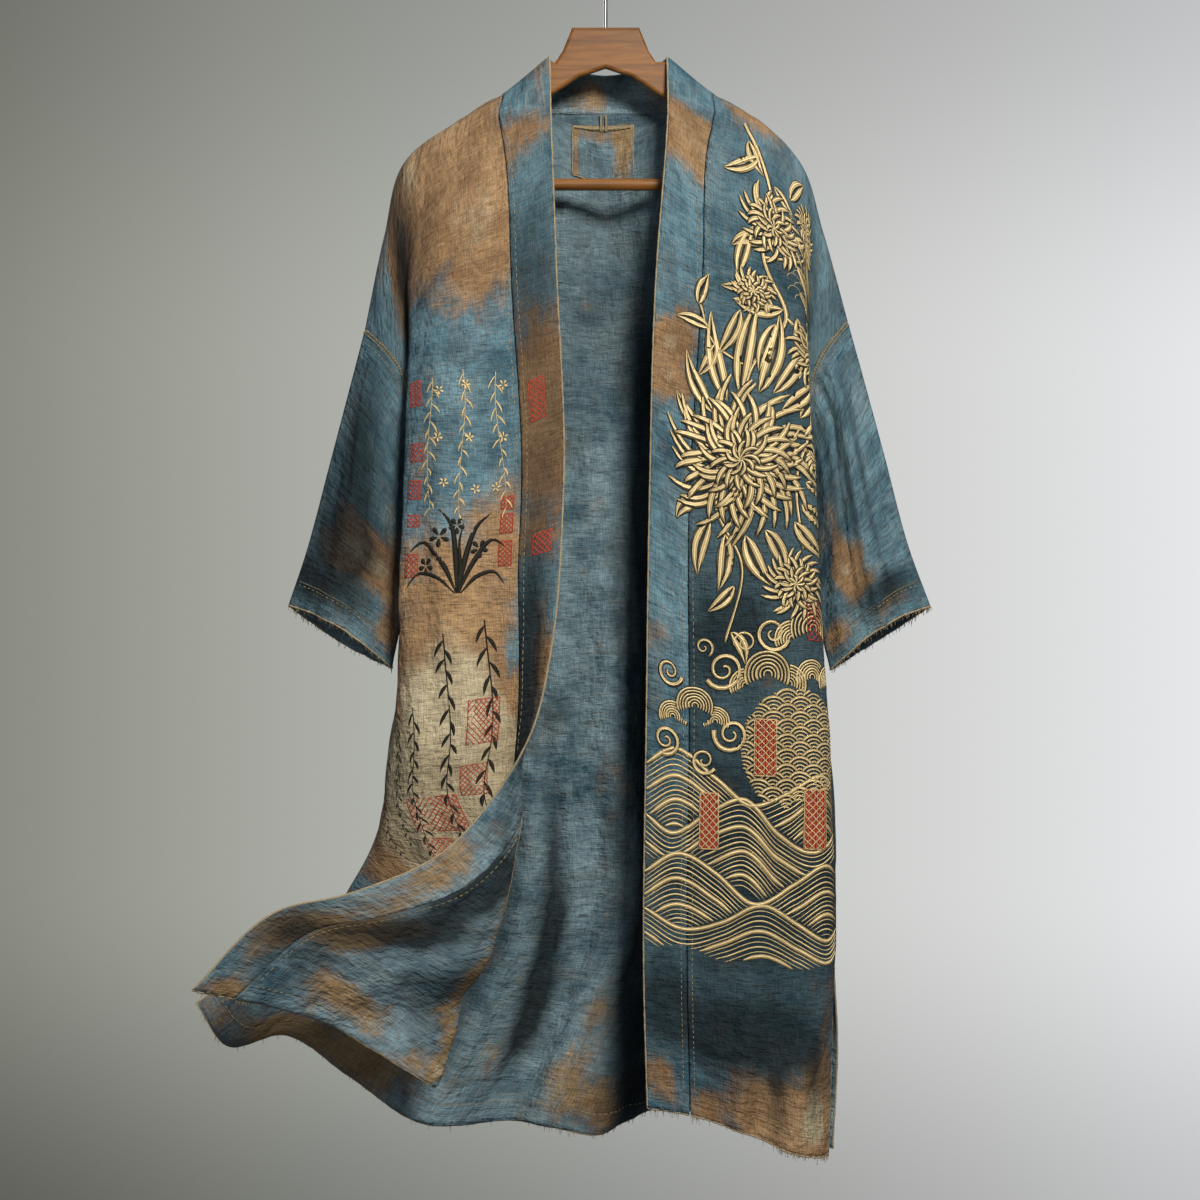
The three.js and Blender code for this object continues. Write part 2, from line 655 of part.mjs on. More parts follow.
// ---- Hanger ----

// Upper edge of an arm: the underside of the cloth along the shoulder fold, lower by the
// thickness of the band's seam where that crosses.
function armTop(side) {
  const isRight = side === "right";
  const section = frontSection(side, isRight ? rightFront : leftFront,
    isRight ? rightNames : leftNames, 0);
  const low = BAND_WALL / 2 + SEAM + 1.6;
  const points = [];
  for (let k = 0; k <= 16; k += 1) {
    const length = mix(section.total - 3, section.total - 210, k / 16);
    const p = section.pointAt(length);
    const q = section.pointAt(length - 1);
    const run = new THREE.Vector2(Math.abs(q.x) - Math.abs(p.x), q.z - p.z).normalize();
    const room = low + 3.2 * Math.exp(-(((Math.abs(p.x) - 124) / 18) ** 2));
    const x = Math.abs(p.x) + run.y * room;
    if (x < ARM_TIP) points.push([x, p.z - run.x * room]);
  }
  return points;
}
const outline = new THREE.Shape();
const rightHalf = [...woodHead.map((row) => [row.at, row.z]), ...armTop("left"),
  ...woodFoot.map((row) => [row.at, row.z])];
const leftHalf = [...woodHead.map((row) => [row.at, row.z]), ...armTop("right"),
  ...woodFoot.map((row) => [row.at, row.z])].slice(1, -1).reverse().map(([x, z]) => [-x, z]);
[...rightHalf, ...leftHalf].forEach(([x, z], k) => {
  if (k) outline.lineTo(x, z);
  else outline.moveTo(x, z);
});
outline.closePath();
const BEVEL = 4;
const wood = new THREE.ExtrudeGeometry(outline, {
  depth: WOOD_DEPTH - 2 * BEVEL,
  bevelEnabled: true,
  bevelThickness: BEVEL,
  bevelSize: BEVEL,
  bevelOffset: -BEVEL,
  bevelSegments: 3,
});
wood.rotateX(Math.PI / 2);
wood.translate(0, WOOD_DEPTH / 2 - BEVEL, 0);
add("hanger_wood", wood, 0xa9764a, 0.45);

const BAR_Z = -269;
const BAR_END = 185;
const bar = new THREE.CylinderGeometry(BAR_RADIUS, BAR_RADIUS, 2 * BAR_END, 24);
bar.rotateZ(Math.PI / 2);
bar.translate(0, 0, BAR_Z);
add("hanger_bar", bar, 0xb07c50, 0.45);

// Hook: a straight rod that swings out and round to a half circle over the origin.
const reach = HOOK_INNER + ROD_RADIUS;
const centre = -HOOK_INNER;
const path = [];
for (const z of [-91.7, -80, -68]) path.push([0, z]);
for (let k = 0; k <= 10; k += 1) {
  const t = k / 10;
  path.push([-reach * smooth(t), mix(-60, centre, t)]);
}
for (let k = 1; k <= 22; k += 1) {
  const angle = Math.PI - (k / 22) * (Math.PI * 1.17);
  path.push([reach * Math.cos(angle), centre + reach * Math.sin(angle)]);
}
function rod(line, radius, sides) {
  const positions = [];
  const faces = [];
  line.forEach(([x, z], j) => {
    const before = line[Math.max(0, j - 1)];
    const after = line[Math.min(line.length - 1, j + 1)];
    const along = new THREE.Vector3(after[0] - before[0], 0, after[1] - before[1]).normalize();
    const side = new THREE.Vector3(0, 1, 0).cross(along);
    for (let i = 0; i < sides; i += 1) {
      const a = (i / sides) * 2 * Math.PI;
      const p = new THREE.Vector3(x, 0, z).addScaledVector(side, radius * Math.cos(a));
      positions.push(p.x, radius * Math.sin(a), p.z);
    }
  });
  const rings = line.length;
  for (let j = 0; j < rings - 1; j += 1) {
    for (let i = 0; i < sides; i += 1) {
      const k = (i + 1) % sides;
      const a = j * sides;
      const b = a + sides;
      faces.push(a + i, a + k, b + k, a + i, b + k, b + i);
    }
  }
  const last = (rings - 1) * sides;
  for (let i = 1; i < sides - 1; i += 1) {
    faces.push(0, i + 1, i);
    faces.push(last, last + i, last + i + 1);
  }
  return shape(positions, faces);
}
add("hanger_hook", rod(path, ROD_RADIUS, 14), 0xb9bcc0, 0.3, 1);

export default group;
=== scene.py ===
import math

import bpy
import numpy as np
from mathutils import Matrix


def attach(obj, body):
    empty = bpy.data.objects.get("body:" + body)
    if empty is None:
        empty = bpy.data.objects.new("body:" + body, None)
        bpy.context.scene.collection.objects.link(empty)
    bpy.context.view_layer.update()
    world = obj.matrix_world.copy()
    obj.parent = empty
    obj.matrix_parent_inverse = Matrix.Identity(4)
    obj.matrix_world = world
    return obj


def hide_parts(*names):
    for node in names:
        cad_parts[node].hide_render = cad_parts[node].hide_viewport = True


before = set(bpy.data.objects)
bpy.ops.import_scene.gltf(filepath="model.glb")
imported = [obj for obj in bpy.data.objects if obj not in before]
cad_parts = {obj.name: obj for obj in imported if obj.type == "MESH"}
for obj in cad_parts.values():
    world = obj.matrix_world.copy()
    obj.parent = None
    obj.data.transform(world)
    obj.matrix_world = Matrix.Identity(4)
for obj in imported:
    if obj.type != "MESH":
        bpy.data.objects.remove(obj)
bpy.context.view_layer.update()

bpy.ops.object.select_all(action="DESELECT")


# Camera: level with the middle of the robe and 3.4 m in front of it, as a person across the
# room sees it. Its view is 1.356 m wide at the hanger, and nothing in it is out of focus.
EYE_DISTANCE = 3.4
VIEW_WIDTH = 1.356
VIEW_MIDDLE_X = -0.0062
VIEW_MIDDLE_Z = -0.7384
bpy.ops.object.camera_add(location=(VIEW_MIDDLE_X, -EYE_DISTANCE, VIEW_MIDDLE_Z),
                          rotation=(math.pi / 2, 0, 0))
camera = bpy.context.object
camera.name = "camera"
camera.data.sensor_width = 36
camera.data.lens = 36 * EYE_DISTANCE / VIEW_WIDTH
camera.data.dof.use_dof = False
bpy.context.scene.camera = camera


# Fronts: a length of heavy linen from each shoulder to the hem, sewn to the back at the sides
# and to the neck band in front. The wind blows the wearer's right one back and turns its
# inside out, and the left one hangs straight. Sizes are in millimetres, as in the solids.
WALL = 1.6
SEAM = 0.3
BODY_LENGTH = 1150.0
HEM_EXTRA = 1.2
HEM_HEIGHT = 32.0
# Shares of that length: the foot of the armhole, the head of the slits and the reach of the
# shoulder's curve; then how round that curve is.
ARM_END = 0.254
SLIT_TOP = 0.829
SHOULDER_REACH = 0.03
SHOULDER_ROUND = 0.36
# Armhole: its ends in the plane of the arms, how far it bows inwards and how deep it is.
armholes = {
    "right": {"top": [-271, -433], "foot": [-214, -541], "inward": [12, 9], "deep": 15},
    "left": {"top": [273, -424], "foot": [223, -546], "inward": [-13, 8], "deep": 15},
}
# Side seams between the underarm and the head of the slit.
side_seams = {
    "right": [
        {"at": 0.254, "p": [-214, 0, -541]},
        {"at": 0.394, "p": [-212, 3, -687]},
        {"at": 0.52, "p": [-226, 4, -840]},
        {"at": 0.671, "p": [-255, 4, -993]},
        {"at": 0.829, "p": [-298, 4, -1081]},
    ],
    "left": [
        {"at": 0.254, "p": [223, 0, -546]},
        {"at": 0.405, "p": [224, 3, -687]},
        {"at": 0.545, "p": [238, 4, -840]},
        {"at": 0.615, "p": [253, 4, -912]},
        {"at": 0.829, "p": [258, 4, -1150]},
    ],
}
# Free slit edges under the side seams.
slit_edges = {
    "right_front": [
        side_seams["right"][-1],
        {"at": 0.9, "p": [-255, -22, -1127]},
        {"at": 1, "p": [-200, -90, -1259]},
    ],
    "right_back": [
        side_seams["right"][-1],
        {"at": 0.9, "p": [-363, 16, -1124]},
        {"at": 1, "p": [-459, -20, -1191]},
    ],
    "left_front": [
        side_seams["left"][-1],
        {"at": 0.9, "p": [253, -30, -1235]},
        {"at": 1, "p": [247, -62, -1352]},
    ],
    "left_back": [
        side_seams["left"][-1],
        {"at": 0.9, "p": [264, 26, -1240]},
        {"at": 1, "p": [259, 30, -1363]},
    ],
}
# Neck band width: full over the shoulder, then narrow down the fronts.
band_widths = [
    {"at": 0, "wide": [70]},
    {"at": 0.03, "wide": [62]},
    {"at": 0.065, "wide": [60]},
    {"at": 0.19, "wide": [55]},
    {"at": 0.405, "wide": [51]},
    {"at": 1, "wide": [48]},
]
# Right front, a row for each section of the cloth, from the shoulder (0) to the hem (1). It
# hangs to about three fifths, then the wind folds it back over itself. "turn" is the crest of
# that fold from the sixth row down, and the seam of the band above it.
right_front = [
    {"at": 0, "arm": [-249, 0, -326], "tip": [-227, 0, -245], "chest": [-170, 0, -201],
     "turn": [-117, 0, -170], "back": [-88, 0, -147], "edge": [-64, 0, -126]},
    {"at": 0.028, "arm": [-244, -15, -338], "tip": [-222, -21, -267], "chest": [-168, -23, -221],
     "turn": [-115, -23, -191], "back": [-88, -24, -181], "edge": [-62, -23, -172]},
    {"at": 0.061, "arm": [-235, -20, -362], "tip": [-218, -32, -307], "chest": [-166, -38, -262],
     "turn": [-113, -36, -232], "back": [-87, -35, -218], "edge": [-61, -32, -204]},
    {"at": 0.186, "arm": [-217, -12, -452], "tip": [-218, -44, -424], "chest": [-160, -57, -403],
     "turn": [-105, -52, -387], "back": [-80, -52, -375], "edge": [-55, -50, -364]},
    {"at": 0.394, "arm": [-211, -16, -665], "tip": [-227, -52, -649], "chest": [-154, -72, -647],
     "turn": [-98, -65, -644], "back": [-73, -66, -634], "edge": [-47, -65, -624]},
    {"at": 0.52, "arm": [-226, -20, -824], "tip": [-231, -54, -814], "chest": [-151, -78, -802],
     "turn": [-96, -72, -799], "back": [-79, -87, -797], "edge": [-60, -106, -795]},
    {"at": 0.595, "arm": [-244, -20, -916], "tip": [-228, -58, -909], "chest": [-149, -88, -898],
     "turn": [-98, -84, -889], "back": [-87, -104, -885], "edge": [-80, -128, -880]},
    {"at": 0.671, "arm": [-248, -28, -991], "tip": [-212, -62, -987], "chest": [-150, -90, -982],
     "turn": [-93, -102, -981], "back": [-106, -122, -970], "edge": [-124, -132, -956]},
    {"at": 0.761, "arm": [-255, -32, -1046], "tip": [-213, -60, -1056], "chest": [-160, -84, -1074],
     "turn": [-116, -108, -1090], "back": [-150, -146, -1059], "edge": [-191, -165, -1020]},
    {"at": 0.829, "arm": [-268, -35, -1090], "tip": [-225, -62, -1104], "chest": [-178, -86, -1120],
     "turn": [-137, -110, -1139], "back": [-196, -162, -1100], "edge": [-272, -195, -1051]},
    {"at": 0.9, "arm": [-235, -48, -1137], "tip": [-212, -70, -1152], "chest": [-187, -86, -1168],
     "turn": [-160, -106, -1195], "back": [-246, -168, -1128], "edge": [-350, -215, -1069]},
    {"at": 1, "arm": [-197, -93, -1261], "tip": [-195, -96, -1263], "chest": [-193, -99, -1265],
     "turn": [-190, -104, -1267], "back": [-313, -170, -1187], "edge": [-435, -235, -1149]},
]
# Left front: hangs straight, and "turn" is the seam of the band all the way.
left_front = [
    {"at": 0, "arm": [245, 0, -322], "tip": [220, 0, -246], "chest": [174, 0, -199],
     "turn": [125, 0, -171], "edge": [69, 0, -126]},
    {"at": 0.03, "arm": [242, -15, -334], "tip": [218, -21, -267], "chest": [173, -23, -220],
     "turn": [124, -24, -194], "edge": [70, -22, -160]},
    {"at": 0.065, "arm": [233, -20, -359], "tip": [215, -32, -304], "chest": [171, -38, -261],
     "turn": [122, -36, -235], "edge": [70, -32, -190]},
    {"at": 0.19, "arm": [222, -12, -447], "tip": [222, -44, -421], "chest": [166, -57, -403],
     "turn": [109, -52, -388], "edge": [57, -50, -367]},
    {"at": 0.405, "arm": [222, -15, -671], "tip": [234, -52, -653], "chest": [167, -72, -647],
     "turn": [98, -65, -644], "edge": [49, -64, -616]},
    {"at": 0.615, "arm": [250, -20, -905], "tip": [246, -58, -898], "chest": [170, -81, -894],
     "turn": [93, -74, -893], "edge": [45, -73, -882]},
    {"at": 0.82, "arm": [255, -28, -1147], "tip": [249, -66, -1143], "chest": [170, -88, -1140],
     "turn": [90, -82, -1135], "edge": [42, -81, -1130]},
    {"at": 1, "arm": [235, -82, -1353], "tip": [217, -92, -1350], "chest": [157, -92, -1326],
     "turn": [88, -90, -1304], "edge": [46, -88, -1298]},
]
# Soft folds pressed into a panel: place across and down it, half width, half length, how far
# it pushes out, and how it leans.
folds = {
    "right_front": [
        {"across": 0.62, "down": 0.36, "wide": 0.09, "long": 0.24, "out": 5, "lean": 0.05},
        {"across": 0.78, "down": 0.5, "wide": 0.07, "long": 0.16, "out": -5, "lean": -0.1},
        {"across": 0.45, "down": 0.62, "wide": 0.08, "long": 0.14, "out": 6, "lean": 0.3},
        {"across": 0.72, "down": 0.88, "wide": 0.1, "long": 0.1, "out": -9, "lean": 0.5},
        {"across": 0.52, "down": 0.93, "wide": 0.08, "long": 0.1, "out": 8, "lean": 0.5},
    ],
    "left_front": [
        {"across": 0.56, "down": 0.42, "wide": 0.08, "long": 0.3, "out": 6, "lean": 0.1},
        {"across": 0.76, "down": 0.62, "wide": 0.07, "long": 0.3, "out": -5, "lean": -0.05},
        {"across": 0.5, "down": 0.86, "wide": 0.09, "long": 0.2, "out": -8, "lean": 0.1},
        {"across": 0.66, "down": 0.9, "wide": 0.07, "long": 0.2, "out": 8, "lean": 0.1},
    ],
}


def spline(places, points, at):
    """Smooth curve through points (n, d) at rising places, read at many places at once."""
    places = np.asarray(places, float)
    points = np.asarray(points, float)
    at = np.atleast_1d(np.asarray(at, float))
    gaps = np.diff(places)
    slopes = np.diff(points, axis=0) / gaps[:, None]
    tangents = np.empty_like(points)
    tangents[0], tangents[-1] = slopes[0], slopes[-1]
    before, after = gaps[:-1, None], gaps[1:, None]
    tangents[1:-1] = (slopes[:-1] * after + slopes[1:] * before) / (before + after)
    k = np.clip(np.searchsorted(places, at, side="left") - 1, 0, len(gaps) - 1)
    span = gaps[k][:, None]
    t = ((at - places[k]) / gaps[k])[:, None]
    t2, t3 = t * t, t * t * t
    return (points[k] * (2 * t3 - 3 * t2 + 1) + tangents[k] * span * (t3 - 2 * t2 + t)
            + points[k + 1] * (3 * t2 - 2 * t3) + tangents[k + 1] * span * (t3 - t2))


def column(table, name, at):
    """A named column of a table, read at places between its rows."""
    return spline([row["at"] for row in table], [row[name] for row in table], at)


def smooth(t):
    """0 up to t = 0, 1 from t = 1, and a soft step between them."""
    c = np.clip(t, 0, 1)
    return c * c * (3 - 2 * c)


def armhole(side, face, t):
    """Edge of the armhole at shares t of it; face is -1 in front and 1 behind."""
    a = armholes[side]
    bow = np.sin(np.pi * t)
    return np.stack([
        a["top"][0] + (a["foot"][0] - a["top"][0]) * t + a["inward"][0] * bow,
        face * (a["deep"] * bow + SEAM / 2),
        a["top"][1] + (a["foot"][1] - a["top"][1]) * t + a["inward"][1] * bow], 1)


def side_edge(side, face, v):
    """Edge of a panel down its side: the armhole, the side seam, then the free slit."""
    slit = slit_edges[side + ("_front" if face < 0 else "_back")]
    on_arm = armhole(side, face, np.minimum(v / ARM_END, 1))
    on_seam = column(side_seams[side], "p", np.clip(v, ARM_END, SLIT_TOP))
    on_slit = column(slit, "p", np.maximum(v, SLIT_TOP))
    lower = np.where(v[:, None] <= SLIT_TOP, on_seam, on_slit)
    lower[:, 1] += face * SEAM / 2
    return np.where(v[:, None] <= ARM_END, on_arm, lower)


def shoulder_points(table, name, face, v):
    """A column of a panel, parted from the other face by the seam and rounded over the top."""
    p = column(table, name, v)
    p[:, 1] += face * SEAM / 2 * (1 - smooth(v / SHOULDER_REACH))
    if not name.startswith(("mid", "nape")):
        drop = table[0][name][2] - column(table, name, SHOULDER_REACH)[0, 2]
        p[:, 2] += SHOULDER_ROUND * drop * np.sin(np.pi * np.minimum(v / SHOULDER_REACH, 1))
    return p


def running_length(points):
    """Length along a line at each of its points, from 0 at the first."""
    return np.concatenate([[0], np.cumsum(np.linalg.norm(np.diff(points, axis=0), axis=1))])


def section_curves(points, steps=240):
    """Dense curve of each row through its points (rows, k, 3), with its running length."""
    lines, lengths, marks = [], [], []
    for row in points:
        gaps = np.maximum(1e-3, np.linalg.norm(np.diff(row, axis=0), axis=1))
        places = np.concatenate([[0], np.cumsum(gaps)])
        dense = np.linspace(0, places[-1], steps + 1)
        line = spline(places, row, dense)
        run = running_length(line)
        lines.append(line)
        lengths.append(run)
        marks.append(np.interp(places, dense, run))
    return lines, lengths, marks


def read_at(lines, lengths, wanted):
    """Points of each row's curve at the wanted lengths (rows, n)."""
    return np.stack([
        np.stack([np.interp(w, run, line[:, k]) for k in range(3)], 1)
        for line, run, w in zip(lines, lengths, wanted)])


right_names = ["arm", "tip", "chest", "turn", "back", "edge"]
left_names = ["arm", "tip", "chest", "turn", "edge"]
TURN_MARK = 1 + right_names.index("turn")


def front_curves(side, v):
    """Sections of a front panel and its band, from the side edge to the free edge."""
    table, names = ((right_front, right_names) if side == "right" else (left_front, left_names))
    points = [side_edge(side, -1, v)]
    points += [shoulder_points(table, name, -1, v) for name in names]
    return section_curves(np.stack(points, 1))


def near_edges(u, v, reach_u=0.06, reach_v=0.03):
    """0 at a panel's edges and 1 inside, so that wrinkles don't open the seams."""
    return smooth(u / reach_u) * smooth((1 - u) / reach_u) * smooth(v / reach_v)


def fold_out(folds_here, u, v):
    """Outward push of the soft folds, each a long hump that leans across its panel."""
    out = np.zeros(np.broadcast(u, v).shape)
    for f in folds_here:
        a = (u - f["across"] - f["lean"] * (v - f["down"])) / f["wide"]
        b = (v - f["down"]) / f["long"]
        out += f["out"] * np.exp(-a * a - b * b)
    return out * near_edges(u, v, 0.12, 0.1)


def crumple(a, b, size_a, size_b, seed):
    """Smooth random height, about -1 to 1, with humps of the given sizes in millimetres."""
    cells = 97
    heights = np.random.default_rng(seed).uniform(-1, 1, (cells, cells))
    x, y = a / size_a, b / size_b
    x0, y0 = np.floor(x).astype(int), np.floor(y).astype(int)
    tx, ty = smooth(x - x0), smooth(y - y0)
    pick = lambda i, j: heights[np.mod(x0 + i, cells), np.mod(y0 + j, cells)]
    top = pick(0, 0) * (1 - tx) + pick(1, 0) * tx
    foot = pick(0, 1) * (1 - tx) + pick(1, 1) * tx
    return top * (1 - ty) + foot * ty


def soft_crease(a, b, line, width, height):
    """Ridge (or trough) of a given half width along a short line of (a, b) places."""
    out = np.zeros(np.broadcast(a, b).shape)
    for (a0, b0), (a1, b1) in zip(line[:-1], line[1:]):
        da, db = a1 - a0, b1 - b0
        t = np.clip(((a - a0) * da + (b - b0) * db) / (da * da + db * db), 0, 1)
        far = np.hypot(a - a0 - t * da, b - b0 - t * db)
        out = np.maximum(out, np.exp(-(far / width) ** 2))
    return out * height


def normals_of(grid, closed=False):
    """Unit normals of a grid of points; a closed one joins its last column to its first."""
    if closed:
        across = np.roll(grid[:, :-1], -1, 1) - np.roll(grid[:, :-1], 1, 1)
        across = np.concatenate([across, across[:, :1]], 1)
    else:
        across = np.gradient(grid, axis=1)
    n = np.cross(np.gradient(grid, axis=0), across)
    return n / np.maximum(1e-9, np.linalg.norm(n, axis=2, keepdims=True))


def patches(flat, table, kind):
    """How far a place is "tan", its dye bare or faded, or "deep", darker, partly from deeper dye and
    partly painted shade and shadow: a row is one patch.
    """
    squareness = 2.4
    out = np.zeros(flat.shape[:-1])
    for p in table:
        da, db = (flat[..., 0] - p["a"]) / p["wide"], (flat[..., 1] - p["b"]) / p["tall"]
        out += p.get(kind, 0) * np.exp(
            -(np.abs(da) ** squareness + np.abs(db) ** squareness))
    return out


def unwrap(mesh, flat):
    """UV map of a mesh from the flat place of each point, in metres; and smooth shading."""
    uv = mesh.uv_layers.new(name="UVMap")
    loop_points = np.empty(len(mesh.loops), int)
    mesh.loops.foreach_get("vertex_index", loop_points)
    uv.data.foreach_set("uv", flat[loop_points].reshape(-1).astype(np.float32))
    mesh.polygons.foreach_set("use_smooth", np.ones(len(mesh.polygons), bool))


def cloth_object(name, grid, flat, thick, turn, dye_and_shade, square=None, closed=False, shrink=1.0):
    """Thin closed shell on a grid of middle points; flat holds each point's place on the cut.

    thick is its reach to the outer and to the inner face; turn is -1 where the grid's own
    normal points into the garment. Then come the tables of patches for the outer and the inner
    face. UVMap carries the flat place in metres (its width times shrink), "tan" the dye left
    bare or faded, "deep" the darkening, partly deeper dye and partly painted shade and painted
    shadow, and "inside" is 1 on the inner face."""
    n = normals_of(grid, closed) * turn
    if square is not None:
        n[square, 1] = 0
        n /= np.maximum(1e-9, np.linalg.norm(n, axis=2, keepdims=True))
    rows, columns = grid.shape[:2]
    outer, inner = grid + n * thick[0][..., None], grid - n * thick[1][..., None]
    points = np.concatenate([outer.reshape(-1, 3), inner.reshape(-1, 3)]) / 1000
    ids = np.arange(rows * columns).reshape(rows, columns)
    if closed:
        ids[:, -1] = ids[:, 0]
    layer = rows * columns
    a, b, c, d = ids[:-1, :-1], ids[1:, :-1], ids[1:, 1:], ids[:-1, 1:]
    faces = [np.stack([a, b, c, d], -1).reshape(-1, 4),
             np.stack([a, d, c, b], -1).reshape(-1, 4) + layer]

    def close_edge(line, flip):
        p, q = line[:-1], line[1:]
        ring = np.stack([p, q, q + layer, p + layer], -1)
        faces.append(ring[:, ::-1] if flip else ring)

    close_edge(ids[0], False)
    close_edge(ids[-1], True)
    if not closed:
        close_edge(ids[:, 0], True)
        close_edge(ids[:, -1], False)
    faces = np.concatenate(faces)
    # The sign of the volume tells which way round the shell is.
    p0, p1, p2, p3 = (points[faces[:, k]] for k in range(4))
    volume = (np.einsum("ij,ij->i", p0, np.cross(p1, p2))
              + np.einsum("ij,ij->i", p0, np.cross(p2, p3))).sum()
    if volume < 0:
        faces = faces[:, ::-1]
    used = np.unique(faces)
    renumber = np.full(len(points), -1)
    renumber[used] = np.arange(len(used))
    mesh = bpy.data.meshes.new(name)
    mesh.from_pydata(points[used].tolist(), [], renumber[faces].tolist())
    both = lambda x, y: np.concatenate([x.reshape(-1), y.reshape(-1)])[used]
    unwrap(mesh, np.concatenate([flat.reshape(-1, 2)] * 2)[used] * (shrink, 1) / 1000)
    zero = np.zeros((rows, columns))
    for label, values in (
        ("tan", both(patches(flat, dye_and_shade[0], "tan"), patches(flat, dye_and_shade[1], "tan"))),
        ("deep", both(patches(flat, dye_and_shade[0], "deep"), patches(flat, dye_and_shade[1], "deep"))),
        ("inside", both(zero, zero + 1)),
    ):
        mesh.attributes.new(label, "FLOAT", "POINT").data.foreach_set(
            "value", values.astype(np.float32))
    mesh.update()
    made = bpy.data.objects.new(name, mesh)
    bpy.context.scene.collection.objects.link(made)
    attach(made, "root")
    return made


# Colours and nodes: a colour from its hex code, one node with its settings and links, and a
# new material with an empty tree.
def hex_colour(code):
    """Linear colour of an sRGB hex code."""
    parts = [int(code[i:i + 2], 16) / 255 for i in (1, 3, 5)]
    return [c / 12.92 if c <= 0.04045 else ((c + 0.055) / 1.055) ** 2.4 for c in parts] + [1.0]


def node(tree, kind, settings=(), inputs=()):
    """One node; an input is a value for its own socket or a socket to link from."""
    made = tree.nodes.new(kind)
    for key, value in dict(settings).items():
        setattr(made, key, value)
    for key, value in dict(inputs).items():
        if isinstance(value, bpy.types.NodeSocket):
            tree.links.new(value, made.inputs[key])
        else:
            made.inputs[key].default_value = value
    return made


def fresh_material(name):
    material = bpy.data.materials.new(name)
    material.use_nodes = True
    tree = material.node_tree
    tree.nodes.clear()
    return material, tree


